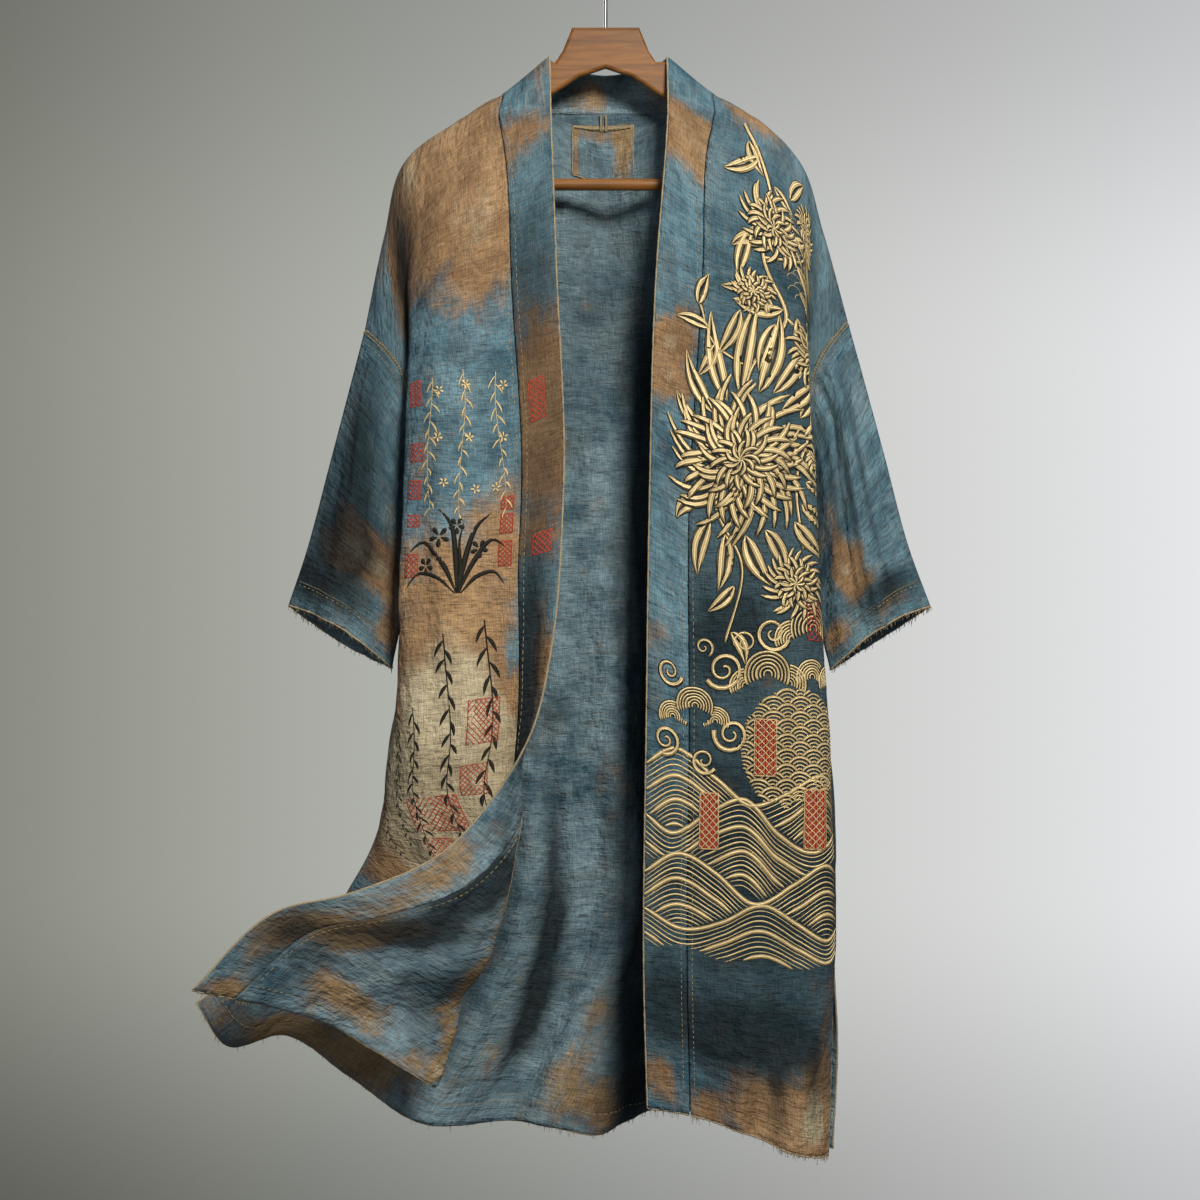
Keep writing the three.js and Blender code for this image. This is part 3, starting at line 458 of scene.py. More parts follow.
# Linen: heavy slubbed plain weave, yarn about 1 mm thick, dyed indigo with straw-coloured
# places that the dye left bare or that have faded. It is washed soft, so it has no shine.
def linen(name, outer, inner):
    """outer and inner hold (deep, light) hex pairs of that face: indigo, straw and cream."""
    material, tree = fresh_material(name)
    out = node(tree, "ShaderNodeOutputMaterial")
    shade = node(tree, "ShaderNodeBsdfPrincipled", inputs={
        "Roughness": 0.9, "Specular IOR Level": 0.1, "Sheen Weight": 0.03,
        "Sheen Roughness": 0.5})
    tree.links.new(shade.outputs[0], out.inputs[0])
    uv = node(tree, "ShaderNodeUVMap", {"uv_map": "UVMap"}).outputs[0]
    tan, deep, inside = (
        node(tree, "ShaderNodeAttribute", {"attribute_name": label}).outputs["Fac"]
        for label in ("tan", "deep", "inside"))

    def noise(grain_a, grain_b, detail=2.0, rough=0.55, shift=0.0):
        """Noise with grains of the given sizes in millimetres, along weft (a) and warp (b)."""
        coords = node(tree, "ShaderNodeMapping", inputs={
            "Vector": uv, "Scale": (1000 / grain_a, 1000 / grain_b, 1),
            "Location": (shift, shift * 1.7, 0)})
        return node(tree, "ShaderNodeTexNoise", {"noise_dimensions": "2D"}, {
            "Vector": coords.outputs[0], "Scale": 1.0, "Detail": detail,
            "Roughness": rough}).outputs[0]

    def maths(kind, a, b=0.0):
        return node(tree, "ShaderNodeMath", {"operation": kind}, {0: a, 1: b}).outputs[0]

    def ramp(value, low, high):
        return node(tree, "ShaderNodeMapRange", {"interpolation_type": "SMOOTHSTEP"}, {
            "Value": value, "From Min": low, "From Max": high}).outputs[0]

    def blend(kind, factor, a, b):
        return node(tree, "ShaderNodeMix", {"data_type": "RGBA", "blend_type": kind},
                    {0: factor, 6: a, 7: b}).outputs[2]

    yarn_wide, yarn_streak, slub_wide, slub_long = 1.1, 15, 2.0, 55
    weft = noise(yarn_streak, yarn_wide, 1.5)
    warp = noise(yarn_wide, yarn_streak, 1.5, shift=3.0)
    slub_weft = ramp(noise(slub_long, slub_wide, 1.0, shift=7.0), 0.66, 0.76)
    slub_warp = ramp(noise(slub_wide, slub_long, 1.0, shift=11.0), 0.67, 0.77)
    threads = maths("ADD", maths("MULTIPLY", weft, 0.5), maths("MULTIPLY", warp, 0.5))
    # The dye crept along the yarns, so its edge is soft, with runs down the warp.
    blot = noise(60, 75, 5.0, 0.62, 19.0)
    runs = noise(5, 42, 3.0, 0.6, 23.0)
    creep = noise(34, 4, 3.0, 0.6, 29.0)
    ragged = maths("ADD", maths("MULTIPLY", blot, 1.5),
                   maths("ADD", maths("MULTIPLY", runs, 0.42), maths("MULTIPLY", creep, 0.2)))
    edge = maths("ADD", tan, maths("SUBTRACT", ragged, 1.06))
    bare = ramp(edge, 0.2, 0.72)
    faded = maths("ADD", maths("MULTIPLY", tan, 0.4), maths("MULTIPLY", edge, 0.6))
    fade = noise(150, 190, 4.0, 0.62, 41.0)
    cloud = noise(42, 34, 4.0, 0.66, 47.0)
    stain = ramp(noise(75, 90, 4.0, 0.6, 61.0), 0.5, 0.72)
    tone = maths("ADD", maths("MULTIPLY", ramp(fade, 0.34, 0.66), 0.55),
                 maths("MULTIPLY", ramp(cloud, 0.3, 0.7), 0.45))

    def face(pairs):
        indigo, straw, cream = (
            blend("MIX", tone, hex_colour(low), hex_colour(high)) for low, high in pairs)
        return blend("MIX", bare, indigo, blend("MIX", ramp(faded, 1.0, 1.3), straw, cream))

    # The inner face has its own colours; its indigo is lighter, painted light on the shaded inside.
    colour = blend("MIX", inside, face(outer), face(inner))
    # Rust-brown along the dye's edge, old stains, and the "deep" places taken towards near-black:
    # partly indigo dyed deeper by more dips, partly painted shade in folds and painted shadow
    # inside the robe.
    border = maths(
        "MULTIPLY", ramp(edge, 0.05, 0.45), maths("SUBTRACT", 1.0, ramp(edge, 0.4, 0.9)))
    colour = blend("MIX", maths("MULTIPLY", border, 0.2), colour, hex_colour("#84603E"))
    colour = blend("MIX", maths("MULTIPLY", stain, 0.22), colour, hex_colour("#4A3C28"))
    dark = maths("MINIMUM", maths("MULTIPLY", deep, maths("ADD", cloud, 0.55)), 0.9)
    colour = blend("MIX", dark, colour, hex_colour("#10191D"))
    light = maths("ADD", maths("MULTIPLY", threads, 1.8), 0.07)
    colour = blend("MULTIPLY", 1.0, colour, node(tree, "ShaderNodeCombineColor", inputs={
        "Red": light, "Green": light, "Blue": light}).outputs[0])
    slubs = maths("MAXIMUM", slub_weft, slub_warp)
    shown = maths("MULTIPLY", slubs, maths("SUBTRACT", 0.18, maths("MULTIPLY", dark, 0.18)))
    colour = blend("MIX", shown, colour, hex_colour("#A89A80"))
    tree.links.new(colour, shade.inputs["Base Color"])
    woven = node(tree, "ShaderNodeBump", inputs={
        "Height": maths("ADD", threads, maths("MULTIPLY", slubs, 0.4)), "Strength": 0.6,
        "Distance": 0.0012})
    crinkle = maths("ADD", noise(9, 16, 3.0, 0.6, 53.0), noise(22, 7, 3.0, 0.6, 59.0))
    creased = node(tree, "ShaderNodeBump", inputs={
        "Height": crinkle, "Strength": 0.8, "Distance": 0.005, "Normal": woven.outputs[0]})
    tree.links.new(creased.outputs[0], shade.inputs["Normal"])
    return material


# Outer face, then inner face. The inner face's indigo is lighter than the outer's: painted light that
# brightens the shaded inside of the robe.
robe_linen = linen(
    "indigo_linen", (("#2B4856", "#6A8995"), ("#70563E", "#A08361"), ("#85785F", "#B9AD90")),
    (("#2F4A57", "#8199A2"), ("#6B563C", "#A18B69"), ("#8A7A5C", "#B5A688")))


def crowded(t, crest):
    """Grid place across a panel, the columns crowding towards the crest of the wind's fold."""
    strength, reach = 0.62, 0.25
    pull = lambda x: x - strength * (x - crest) * np.exp(-((x - crest) / reach) ** 2)
    return (pull(t) - pull(0.0)) / (pull(1.0) - pull(0.0))


def panel_places(count):
    """Rows down a body panel, closer together over the shoulder."""
    shoulder_rows = 10
    return np.concatenate([np.linspace(0, SHOULDER_REACH, shoulder_rows, endpoint=False),
                           np.linspace(SHOULDER_REACH, 1, count)])


def wrinkled(grid, flat, amount, seed, long_amount=1.0, closed=False):
    """Fine relief of washed, hung linen: long soft waves, crumples and small creases."""
    a, b = flat[..., 0], flat[..., 1]
    out = np.zeros(a.shape)
    # How high, how much either way leans with the other, and how wide and long the humps are.
    for k, (height, lean_a, lean_b, size_a, size_b) in enumerate((
        (long_amount * 2.2, 0.08, 0, 30, 210),
        (1.15, -0.15, 0, 19, 54),
        (0.6, 0, 0.2, 14, 19),
        (0.3, 0.3, 0, 8, 12),
    )):
        out += height * crumple(a + lean_a * b, b + lean_b * a, size_a, size_b, seed + k)
    return grid + normals_of(grid, closed) * (out * amount)[..., None]


def hem_thickness(v, length=BODY_LENGTH, step=3.0):
    """Second thickness of a turned-up hem on a panel of a length; it comes in over step."""
    return HEM_EXTRA * smooth((v - 1 + HEM_HEIGHT / length) * length / step)


# What is sewn on later finds each panel here by its name: its grid and its flat places.
robe = {}


def front_cloth(side, columns, count, folds_here, creases, dye_and_shade, seed):
    """Front panel with its wrinkles; flat places run from the band seam (a) and shoulder (b)."""
    v = panel_places(count)
    lines, lengths, marks = front_curves(side, v)
    total = np.array([run[-1] for run in lengths])
    band = column(band_widths, "wide", v)[:, 0]
    wide = total - band - SEAM / 2
    t = np.linspace(0, 1, columns)
    wanted = np.stack([
        w * crowded(t, min(1.0, m[TURN_MARK] / w)) if side == "right" else w * t
        for w, m in zip(wide, marks)])
    grid = read_at(lines, lengths, wanted)
    grid[0, :, 1] = -SEAM / 2
    u = wanted / wide[:, None]
    vv = v[:, None] * np.ones_like(u)
    turn = 1 if side == "right" else -1
    flat = np.stack([wide[:, None] - wanted, vv * BODY_LENGTH], -1)
    out = fold_out(folds_here, u, vv) * turn
    for c in creases:
        out += turn * soft_crease(flat[..., 0], flat[..., 1], c["line"], c["wide"], c["out"])
    inside = near_edges(u, vv)
    grid = grid + normals_of(grid) * (out * inside)[..., None]
    grid = wrinkled(grid, flat + [seed * 37.0, 0], inside * 0.8, seed)
    square = np.zeros(u.shape, bool)
    square[0, :] = True
    square[:, 0] = True
    half = np.full(u.shape, WALL / 2)
    thick = [half, half + hem_thickness(vv)]
    made = cloth_object("cloth_front_" + side, grid, flat, thick, turn, dye_and_shade, square)
    robe["front_" + side] = {"grid": grid, "flat": flat, "turn": turn, "v": v, "wide": wide}
    return made


front_right = front_cloth(
    "right", 110, 260, folds["right_front"],
    [
        {"line": [(20, 60), (60, 330), (50, 560)], "wide": 15, "out": 2.8},
        {"line": [(110, 80), (120, 300), (150, 520)], "wide": 12, "out": -3.0},
        {"line": [(84, 120), (92, 420), (84, 640)], "wide": 9, "out": 1.8},
        {"line": [(14, 90), (20, 380), (24, 620)], "wide": 7, "out": -1.6},
        {"line": [(95, 420), (60, 640), (20, 800)], "wide": 14, "out": 2.4},
        {"line": [(140, 560), (110, 760), (60, 900)], "wide": 15, "out": -2.6},
        {"line": [(4, 862), (44, 925), (100, 1000), (150, 1070)], "wide": 10, "out": 5.6},
        {"line": [(22, 850), (76, 925), (140, 1010), (200, 1080)], "wide": 9, "out": -4.6},
        {"line": [(6, 940), (50, 1010), (110, 1090)], "wide": 11, "out": -4.2},
        {"line": [(4, 1010), (50, 1070), (80, 1130)], "wide": 9, "out": 3.6},
        {"line": [(70, 870), (160, 950), (240, 1010)], "wide": 10, "out": 4.0},
    ],
    # Patches of the outer face, then of the inner face. The "deep" rows are partly indigo dyed deeper
    # and partly painted shade; on the inner face, which the wind turns out, they are painted shade in
    # the hollows of the fold.
    ([
        {"a": 80, "b": 30, "wide": 125, "tall": 135, "tan": 0.95},
        {"a": 35, "b": 165, "wide": 46, "tall": 66, "tan": 0.75},
        {"a": 162, "b": 100, "wide": 40, "tall": 110, "tan": 0.5, "deep": 0.9},
        {"a": 175, "b": 250, "wide": 36, "tall": 120, "deep": 0.5},
        {"a": 70, "b": 795, "wide": 170, "tall": 258, "tan": 1.0},
        {"a": 66, "b": 745, "wide": 130, "tall": 210, "tan": 0.9},
        {"a": 90, "b": 1030, "wide": 240, "tall": 140, "tan": 0.9, "deep": 0.45},
        {"a": 5, "b": 600, "wide": 14, "tall": 60, "tan": -0.7},
        {"a": 16, "b": 470, "wide": 24, "tall": 50, "tan": 0.4},
        {"a": 60, "b": 520, "wide": 70, "tall": 40, "tan": 0.3},
    ], [
        {"a": 18, "b": 1000, "wide": 34, "tall": 60, "tan": 0.85, "deep": 0.6},
        {"a": 108, "b": 1103, "wide": 36, "tall": 26, "tan": 0.75},
        {"a": 65, "b": 1096, "wide": 30, "tall": 22, "tan": 0.5},
        {"a": 213, "b": 1128, "wide": 24, "tall": 34, "tan": 0.75},
        {"a": 60, "b": 950, "wide": 90, "tall": 70, "deep": 0.3},
        {"a": 14, "b": 858, "wide": 30, "tall": 56, "deep": 1.5},
        {"a": 48, "b": 948, "wide": 26, "tall": 40, "deep": 0.8},
        {"a": 150, "b": 1010, "wide": 40, "tall": 50, "deep": 0.6},
    ] + [
        # A chain of small pale patches along the crest of the wind's fold: partly worn bare, partly a
        # painted highlight where the crest catches the light.
        {"a": float(np.interp(b, (790, 887, 943, 1000, 1097), (24, 84, 126, 166, 240))), "b": b,
         "wide": 9, "tall": 24, "tan": 0.8} for b in range(800, 1140, 22)
    ]), 11)
front_right.data.materials.append(robe_linen)
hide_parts("front_right")

front_left = front_cloth(
    "left", 90, 230, folds["left_front"],
    [
        {"line": [(60, 70), (70, 400), (95, 700)], "wide": 14, "out": 2.6},
        {"line": [(120, 200), (110, 520), (125, 820)], "wide": 13, "out": -2.8},
        {"line": [(30, 500), (45, 800), (40, 1100)], "wide": 13, "out": 2.2},
        {"line": [(95, 760), (85, 1000), (70, 1140)], "wide": 11, "out": -4.2},
        {"line": [(60, 880), (62, 1010), (50, 1140)], "wide": 10, "out": 3.8},
        {"line": [(150, 985), (128, 1050), (122, 1145)], "wide": 8, "out": 3.4},
        {"line": [(168, 1040), (140, 1080), (98, 1096)], "wide": 5, "out": -2.6},
        {"line": [(120, 1060), (104, 1100), (96, 1150)], "wide": 7, "out": -3.4},
    ],
    ([
        {"a": 45, "b": 8, "wide": 40, "tall": 26, "tan": 0.8},
        {"a": 104, "b": 1122, "wide": 72, "tall": 56, "tan": 0.95},
        {"a": 160, "b": 1080, "wide": 34, "tall": 60, "tan": 0.65},
        {"a": 20, "b": 1136, "wide": 22, "tall": 24, "tan": 0.5},
        {"a": 60, "b": 1034, "wide": 110, "tall": 50, "deep": 0.95},
        {"a": 80, "b": 560, "wide": 170, "tall": 400, "deep": 0.62},
        {"a": 80, "b": 860, "wide": 170, "tall": 110, "deep": 0.8},
        {"a": 34, "b": 596, "wide": 44, "tall": 50, "deep": 0.4},
        {"a": 150, "b": 180, "wide": 60, "tall": 120, "deep": 0.4},
        {"a": 172, "b": 990, "wide": 22, "tall": 50, "tan": 0.5},
        {"a": 100, "b": 1104, "wide": 12, "tall": 40, "deep": 0.5},
        {"a": 146, "b": 1090, "wide": 10, "tall": 50, "deep": 0.35},
    ], [
        {"a": 80, "b": 1000, "wide": 50, "tall": 60, "tan": 0.4},
    ]), 23)
front_left.data.materials.append(robe_linen)
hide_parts("front_left")


# Neck band, front lengths: one strip of the same linen, folded double and sewn to each front
# edge from the shoulder to the hem. Its free edge is the fold, pressed thinner than the rest.
BAND_WALL = 2.4
BAND_GAP = 1.2


def band_cloth(side, count, dye_and_shade, seed):
    """Front length of the band; its flat places run on from the seam, with a below 0."""
    v = panel_places(count)
    lines, lengths, _ = front_curves(side, v)
    total = np.array([run[-1] for run in lengths])
    width = column(band_widths, "wide", v)[:, 0] - BAND_GAP + SEAM / 2
    t = np.linspace(0, 1, 16)
    grid = read_at(lines, lengths, total[:, None] - width[:, None] * (1 - t))
    grid[0, :, 1] = -SEAM / 2
    u = np.broadcast_to(t, grid.shape[:2])
    vv = v[:, None] * np.ones_like(u)
    turn = 1 if side == "right" else -1
    flat = np.stack([-width[:, None] * u, vv * BODY_LENGTH], -1)
    inside = near_edges(u, vv, 0.2)
    grid = wrinkled(grid, flat + [seed * 41.0, 0], inside * 0.5, seed, 0.3)
    square = np.zeros(u.shape, bool)
    square[0, :] = True
    half = BAND_WALL / 2 * (1 - 0.35 * smooth((u - 0.93) / 0.07))
    made = cloth_object("cloth_collar_" + side, grid, flat, [half, half], turn, dye_and_shade, square)
    robe["collar_" + side] = {"grid": grid, "flat": flat, "turn": turn}
    made.data.materials.append(robe_linen)
    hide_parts("collar_" + side)


band_cloth(
    "right", 270,
    ([
        {"a": -22, "b": 62, "wide": 34, "tall": 36, "tan": 0.65},
        {"a": -55, "b": 16, "wide": 16, "tall": 26, "tan": 0.4},
        {"a": -30, "b": 372, "wide": 60, "tall": 135, "tan": 0.9, "deep": 0.45},
        {"a": -40, "b": 610, "wide": 20, "tall": 60, "tan": 0.45},
        {"a": -20, "b": 190, "wide": 50, "tall": 90, "deep": 0.5},
        {"a": -14, "b": 640, "wide": 24, "tall": 150, "deep": 1.2},
        {"a": -20, "b": 760, "wide": 50, "tall": 90, "deep": 0.35},
    ], [
        {"a": -12, "b": 1040, "wide": 46, "tall": 46, "tan": 0.9, "deep": 0.85},
        {"a": -16, "b": 934, "wide": 34, "tall": 50, "tan": 0.55, "deep": 0.15},
        {"a": -34, "b": 850, "wide": 20, "tall": 60, "tan": 0.4},
        {"a": -25, "b": 1143, "wide": 40, "tall": 18, "tan": 0.6},
    ]), 31)
band_cloth(
    "left", 240,
    ([
        {"a": -28, "b": 84, "wide": 60, "tall": 40, "tan": 1.1},
        {"a": -40, "b": 318, "wide": 22, "tall": 46, "tan": 0.8},
        {"a": -26, "b": 286, "wide": 26, "tall": 22, "tan": 0.6},
        {"a": -12, "b": 262, "wide": 18, "tall": 26, "tan": 0.45},
        {"a": -18, "b": 332, "wide": 18, "tall": 16, "tan": 0.5},
        {"a": -38, "b": 1104, "wide": 20, "tall": 34, "tan": 0.7},
        {"a": -22, "b": 1015, "wide": 44, "tall": 66, "deep": 0.9},
        {"a": -22, "b": 860, "wide": 44, "tall": 110, "deep": 0.75},
    ], [
        {"a": -30, "b": 500, "wide": 30, "tall": 120, "tan": 0.6},
    ]), 37)


# Back: two lengths of the same linen sewn down the middle, open at both sides below the
# slits' heads. It mirrors the fronts down to the slits, and the wind draws its foot to the
# wearer's right.
BACK_CUT = 860.0
# The neck's own curve dies away over NECK_FALL of the length. Below it, the neck and the nape
# hang this far from the middle, out from the fronts' depth and lower than their seam.
NECK_FALL = 0.065
NECK_X = 106
NAPE_X = 56
NAPE_OUT = 6
NECK_LOWER = 8
MIDDLE_OUT = 74
MIDDLE_HEM = -1346
# The rows from the slits down, where the back no longer mirrors the fronts.
back_foot = [
    {"at": 0.829, "armR": [-287, 32, -1090], "tipR": [-258, 54, -1105], "bladeR": [-188, 66, -1130],
     "neckR": [-118, 74, -1140], "napeR": [-67, 80, -1144], "mid": [-16, 82, -1146],
     "napeL": [34, 82, -1147], "neckL": [82, 78, -1147],
     "bladeL": [168, 74, -1148], "tipL": [246, 62, -1150], "armL": [256, 30, -1150]},
    {"at": 0.915, "armR": [-352, 30, -1150], "tipR": [-312, 44, -1164], "bladeR": [-236, 50, -1197],
     "neckR": [-160, 66, -1231], "napeR": [-114, 80, -1238], "mid": [-66, 88, -1243],
     "napeL": [-20, 72, -1247], "neckL": [28, 56, -1247],
     "bladeL": [112, 98, -1244], "tipL": [196, 82, -1247], "armL": [248, 50, -1252]},
    {"at": 1, "armR": [-426, -6, -1241], "tipR": [-366, 26, -1233], "bladeR": [-292, 30, -1281],
     "neckR": [-205, 55, -1340], "napeR": [-157, 76, -1343], "mid": [-110, 90, -1341],
     "napeL": [-62, 62, -1345], "neckL": [-12, 30, -1348],
     "bladeL": [62, 115, -1332], "tipL": [152, 84, -1340], "armL": [226, 56, -1355]},
]
# The seam round the back neck where the band is sewn on.
neck_seam = {
    "right": [-117, 0, -170],
    "nape_right": [-92, 43, -178],
    "middle": [0, 62, -179],
    "nape_left": [97, 43, -178],
    "left": [125, 0, -171],
}
folds["back"] = [
    {"across": 0.3, "down": 0.5, "wide": 0.04, "long": 0.34, "out": 6, "lean": 0.02},
    {"across": 0.4, "down": 0.62, "wide": 0.035, "long": 0.3, "out": -7, "lean": -0.04},
    {"across": 0.56, "down": 0.8, "wide": 0.04, "long": 0.22, "out": -14, "lean": 0.06},
    {"across": 0.64, "down": 0.74, "wide": 0.04, "long": 0.3, "out": 9, "lean": 0.05},
    {"across": 0.74, "down": 0.6, "wide": 0.04, "long": 0.34, "out": -6, "lean": 0},
    {"across": 0.2, "down": 0.9, "wide": 0.04, "long": 0.16, "out": -9, "lean": -0.05},
    {"across": 0.86, "down": 0.85, "wide": 0.04, "long": 0.2, "out": 7, "lean": 0},
]
back_names = ["armR", "tipR", "bladeR", "neckR", "napeR", "mid", "napeL", "neckL",
              "bladeL", "tipL", "armL"]
# Above the slits each row mirrors the fronts, but for the neck, which falls from the band.
back_table = []
for at in (0, 0.03, 0.065, 0.19, 0.405, 0.615):
    drop = float(smooth(at / NECK_FALL))
    neck = column(left_front, "turn", at)[0]
    row = {"at": at}
    for letter, table in (("R", right_front), ("L", left_front)):
        for name, source in (("arm", "arm"), ("tip", "tip"), ("blade", "chest")):
            row[name + letter] = column(table, source, at)[0] * (1, -1, 1)
    for name, key, x, y in (("neckR", "right", -NECK_X, -neck[1]),
                            ("napeR", "nape_right", -NAPE_X, NAPE_OUT - neck[1]),
                            ("napeL", "nape_left", NAPE_X, NAPE_OUT - neck[1]),
                            ("neckL", "left", NECK_X, -neck[1])):
        top = np.array(neck_seam[key], float)
        row[name] = top + (np.array([x, y, neck[2] - NECK_LOWER]) - top) * drop
    middle = neck_seam["middle"]
    row["mid"] = (0, middle[1] + (MIDDLE_OUT - middle[1]) * drop,
                  middle[2] + (MIDDLE_HEM - middle[2]) * at)
    back_table.append(row)
back_table += back_foot


def back_curves(v):
    """Sections of the back, from the right side to the left."""
    points = [side_edge("right", 1, v)]
    points += [shoulder_points(back_table, name, 1, v) for name in back_names]
    points.append(side_edge("left", 1, v))
    return section_curves(np.stack(points, 1))


v = panel_places(240)
lines, lengths, _ = back_curves(v)
total = np.array([run[-1] for run in lengths])
t = np.linspace(0, 1, 190)
grid = read_at(lines, lengths, total[:, None] * t)
grid[0, :, 1] = np.maximum(grid[0, :, 1], SEAM / 2)
u = np.broadcast_to(t, grid.shape[:2])
vv = v[:, None] * np.ones_like(u)
out = -fold_out(folds["back"], u, vv)
flat = np.stack([u * BACK_CUT, vv * BODY_LENGTH], -1)
for line, width, height in (
    ([(395, 60), (400, 420), (380, 700)], 15, 2.4),
    ([(470, 90), (455, 430), (470, 640)], 13, -2.6),
    ([(426, 540), (430, 850), (450, 1140)], 18, 8.0),
    ([(470, 560), (486, 860), (516, 1130)], 13, -7.0),
    ([(334, 700), (356, 930), (386, 1110)], 14, -8.0),
    ([(300, 640), (300, 880), (312, 1110)], 13, 5.0),
    ([(262, 700), (250, 900), (235, 1110)], 12, -5.0),
    ([(180, 860), (150, 980), (110, 1110)], 13, 3.4),
    ([(240, 880), (210, 1000), (170, 1130)], 12, -3.6),
    ([(560, 500), (575, 800), (600, 1120)], 15, 3.6),
    ([(640, 300), (650, 700), (660, 1100)], 17, -3.6),
    ([(300, 390), (430, 402), (560, 392)], 4.0, 1.8),
):
    out += soft_crease(flat[..., 0], flat[..., 1], line, width, height)
inside = near_edges(u, vv, 0.02)
grid = grid + normals_of(grid) * (out * inside)[..., None]
grid = wrinkled(grid, flat, inside * 1.2, 5)
square = np.zeros(u.shape, bool)
square[0, :] = square[:, 0] = square[:, -1] = True
half = np.full(u.shape, WALL / 2)
# Inside of the back: bare and faded patches, and "deep" rows that are painted shade. The broad strip
# from about a = 460 to 700 is a painted shadow cast by the wearer's left front, the wide one high up
# is painted shade on the upper inside of the back, and the narrow ones are painted shade down the
# troughs of the folds.
inner_dye_and_shade = [
    {"a": 430, "b": 190, "wide": 150, "tall": 190, "deep": 0.36},
    {"a": 519, "b": 1118, "wide": 56, "tall": 34, "tan": 0.65},
    {"a": 262, "b": 1108, "wide": 60, "tall": 36, "tan": 0.55},
    {"a": 120, "b": 1134, "wide": 110, "tall": 24, "tan": 0.7, "deep": 0.3},
    {"a": 100, "b": 1075, "wide": 60, "tall": 24, "tan": 0.3, "deep": 0.4},
    {"a": 470, "b": 1050, "wide": 34, "tall": 60, "tan": 0.55},
    {"a": 338, "b": 840, "wide": 17, "tall": 80, "deep": 0.7},
    {"a": 358, "b": 940, "wide": 22, "tall": 70, "deep": 1.0},
    {"a": 378, "b": 1030, "wide": 24, "tall": 60, "deep": 1.1},
    {"a": 282, "b": 960, "wide": 14, "tall": 130, "deep": 0.5},
    {"a": 490, "b": 400, "wide": 30, "tall": 170, "deep": 0.8},
    {"a": 512, "b": 680, "wide": 38, "tall": 190, "deep": 1.2},
    {"a": 530, "b": 900, "wide": 52, "tall": 150, "deep": 1.2},
    {"a": 580, "b": 1050, "wide": 60, "tall": 120, "deep": 0.9},
    {"a": 620, "b": 600, "wide": 80, "tall": 480, "deep": 0.9},
]
outer_dyes = [
    {"a": 120, "b": 60, "wide": 200, "tall": 120, "tan": 0.9},
    {"a": 300, "b": 800, "wide": 120, "tall": 200, "tan": 0.6},
    {"a": 650, "b": 1080, "wide": 160, "tall": 90, "tan": 0.7},
    {"a": 600, "b": 320, "wide": 60, "tall": 120, "tan": 0.3},
]
back = cloth_object("cloth_back", grid, flat, [half, half + hem_thickness(vv)], -1,
                    (outer_dyes, inner_dye_and_shade), square, shrink=0.74)
robe["back"] = {"grid": grid, "flat": flat, "turn": -1, "v": v}
back.data.materials.append(robe_linen)
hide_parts("back")


# Neck band, back length: the same folded strip, which stands round the back neck on the
# back's own top edge, leans in to the neck and bulges a little between its edges.
COLLAR_BACK_WIDE = 280.0
COLLAR_BACK_TALL = 60.0
# Free upper edge of the band, from the right shoulder (0) to the left one (1).
neck_top = [
    {"at": 0, "p": [-64, 0, -126]},
    {"at": 0.2, "p": [-54, 28, -130]},
    {"at": 0.5, "p": [1, 52, -137]},
    {"at": 0.8, "p": [56, 28, -130]},
    {"at": 1, "p": [69, 0, -126]},
]
lines, lengths, marks = back_curves(np.array([0.0]))
t = np.linspace(0, 1, 70)
right_end, left_end = (marks[0][1 + back_names.index(name)] for name in ("neckR", "neckL"))
foot = read_at(lines, lengths, [right_end + (left_end - right_end) * t])[0]
foot[:, 1] = np.maximum(foot[:, 1], SEAM / 2)
crown = column(neck_top, "p", t) + (0, SEAM / 2, 0)
ends = np.minimum(1, np.minimum(t, 1 - t) / 0.12)
levels = np.linspace(0, 1, 18)
grid = []
for level in levels:
    line = foot + (crown - foot) * level
    line[:, 1] += 5 * np.sin(np.pi * level) * ends
    grid.append(line)
grid = np.array(grid)
u = np.broadcast_to(t, grid.shape[:2])
vv = np.broadcast_to(levels[:, None], grid.shape[:2])
flat = np.stack([u * COLLAR_BACK_WIDE, vv * COLLAR_BACK_TALL], -1)
grid = wrinkled(grid, flat + 90.0, near_edges(u, 1 - vv, 0.05) * 0.45, 43, 0.4)
square = np.zeros(u.shape, bool)
square[:, 0] = square[:, -1] = True
half = np.full(u.shape, BAND_WALL / 2)
dye_and_shade = [
    {"a": 120, "b": 30, "wide": 26, "tall": 30, "tan": 0.5},
    {"a": 205, "b": 30, "wide": 22, "tall": 30, "tan": 0.35},
]
collar_back = cloth_object("cloth_collar_back", grid, flat, [half, half], 1, (dye_and_shade, dye_and_shade), square)
collar_back.data.materials.append(robe_linen)
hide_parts("collar_back")


# Sleeves: wide short tubes of the same linen, set into the dropped armholes with a raw seam,
# their cuffs turned up and stitched. They open out from the armhole to the cuff.
SLEEVE_CUT = 330.0
SLEEVE_DROP = 1.5
HEAD_BOW = 12
HEAD_SINK = {"right": 3, "left": 4}
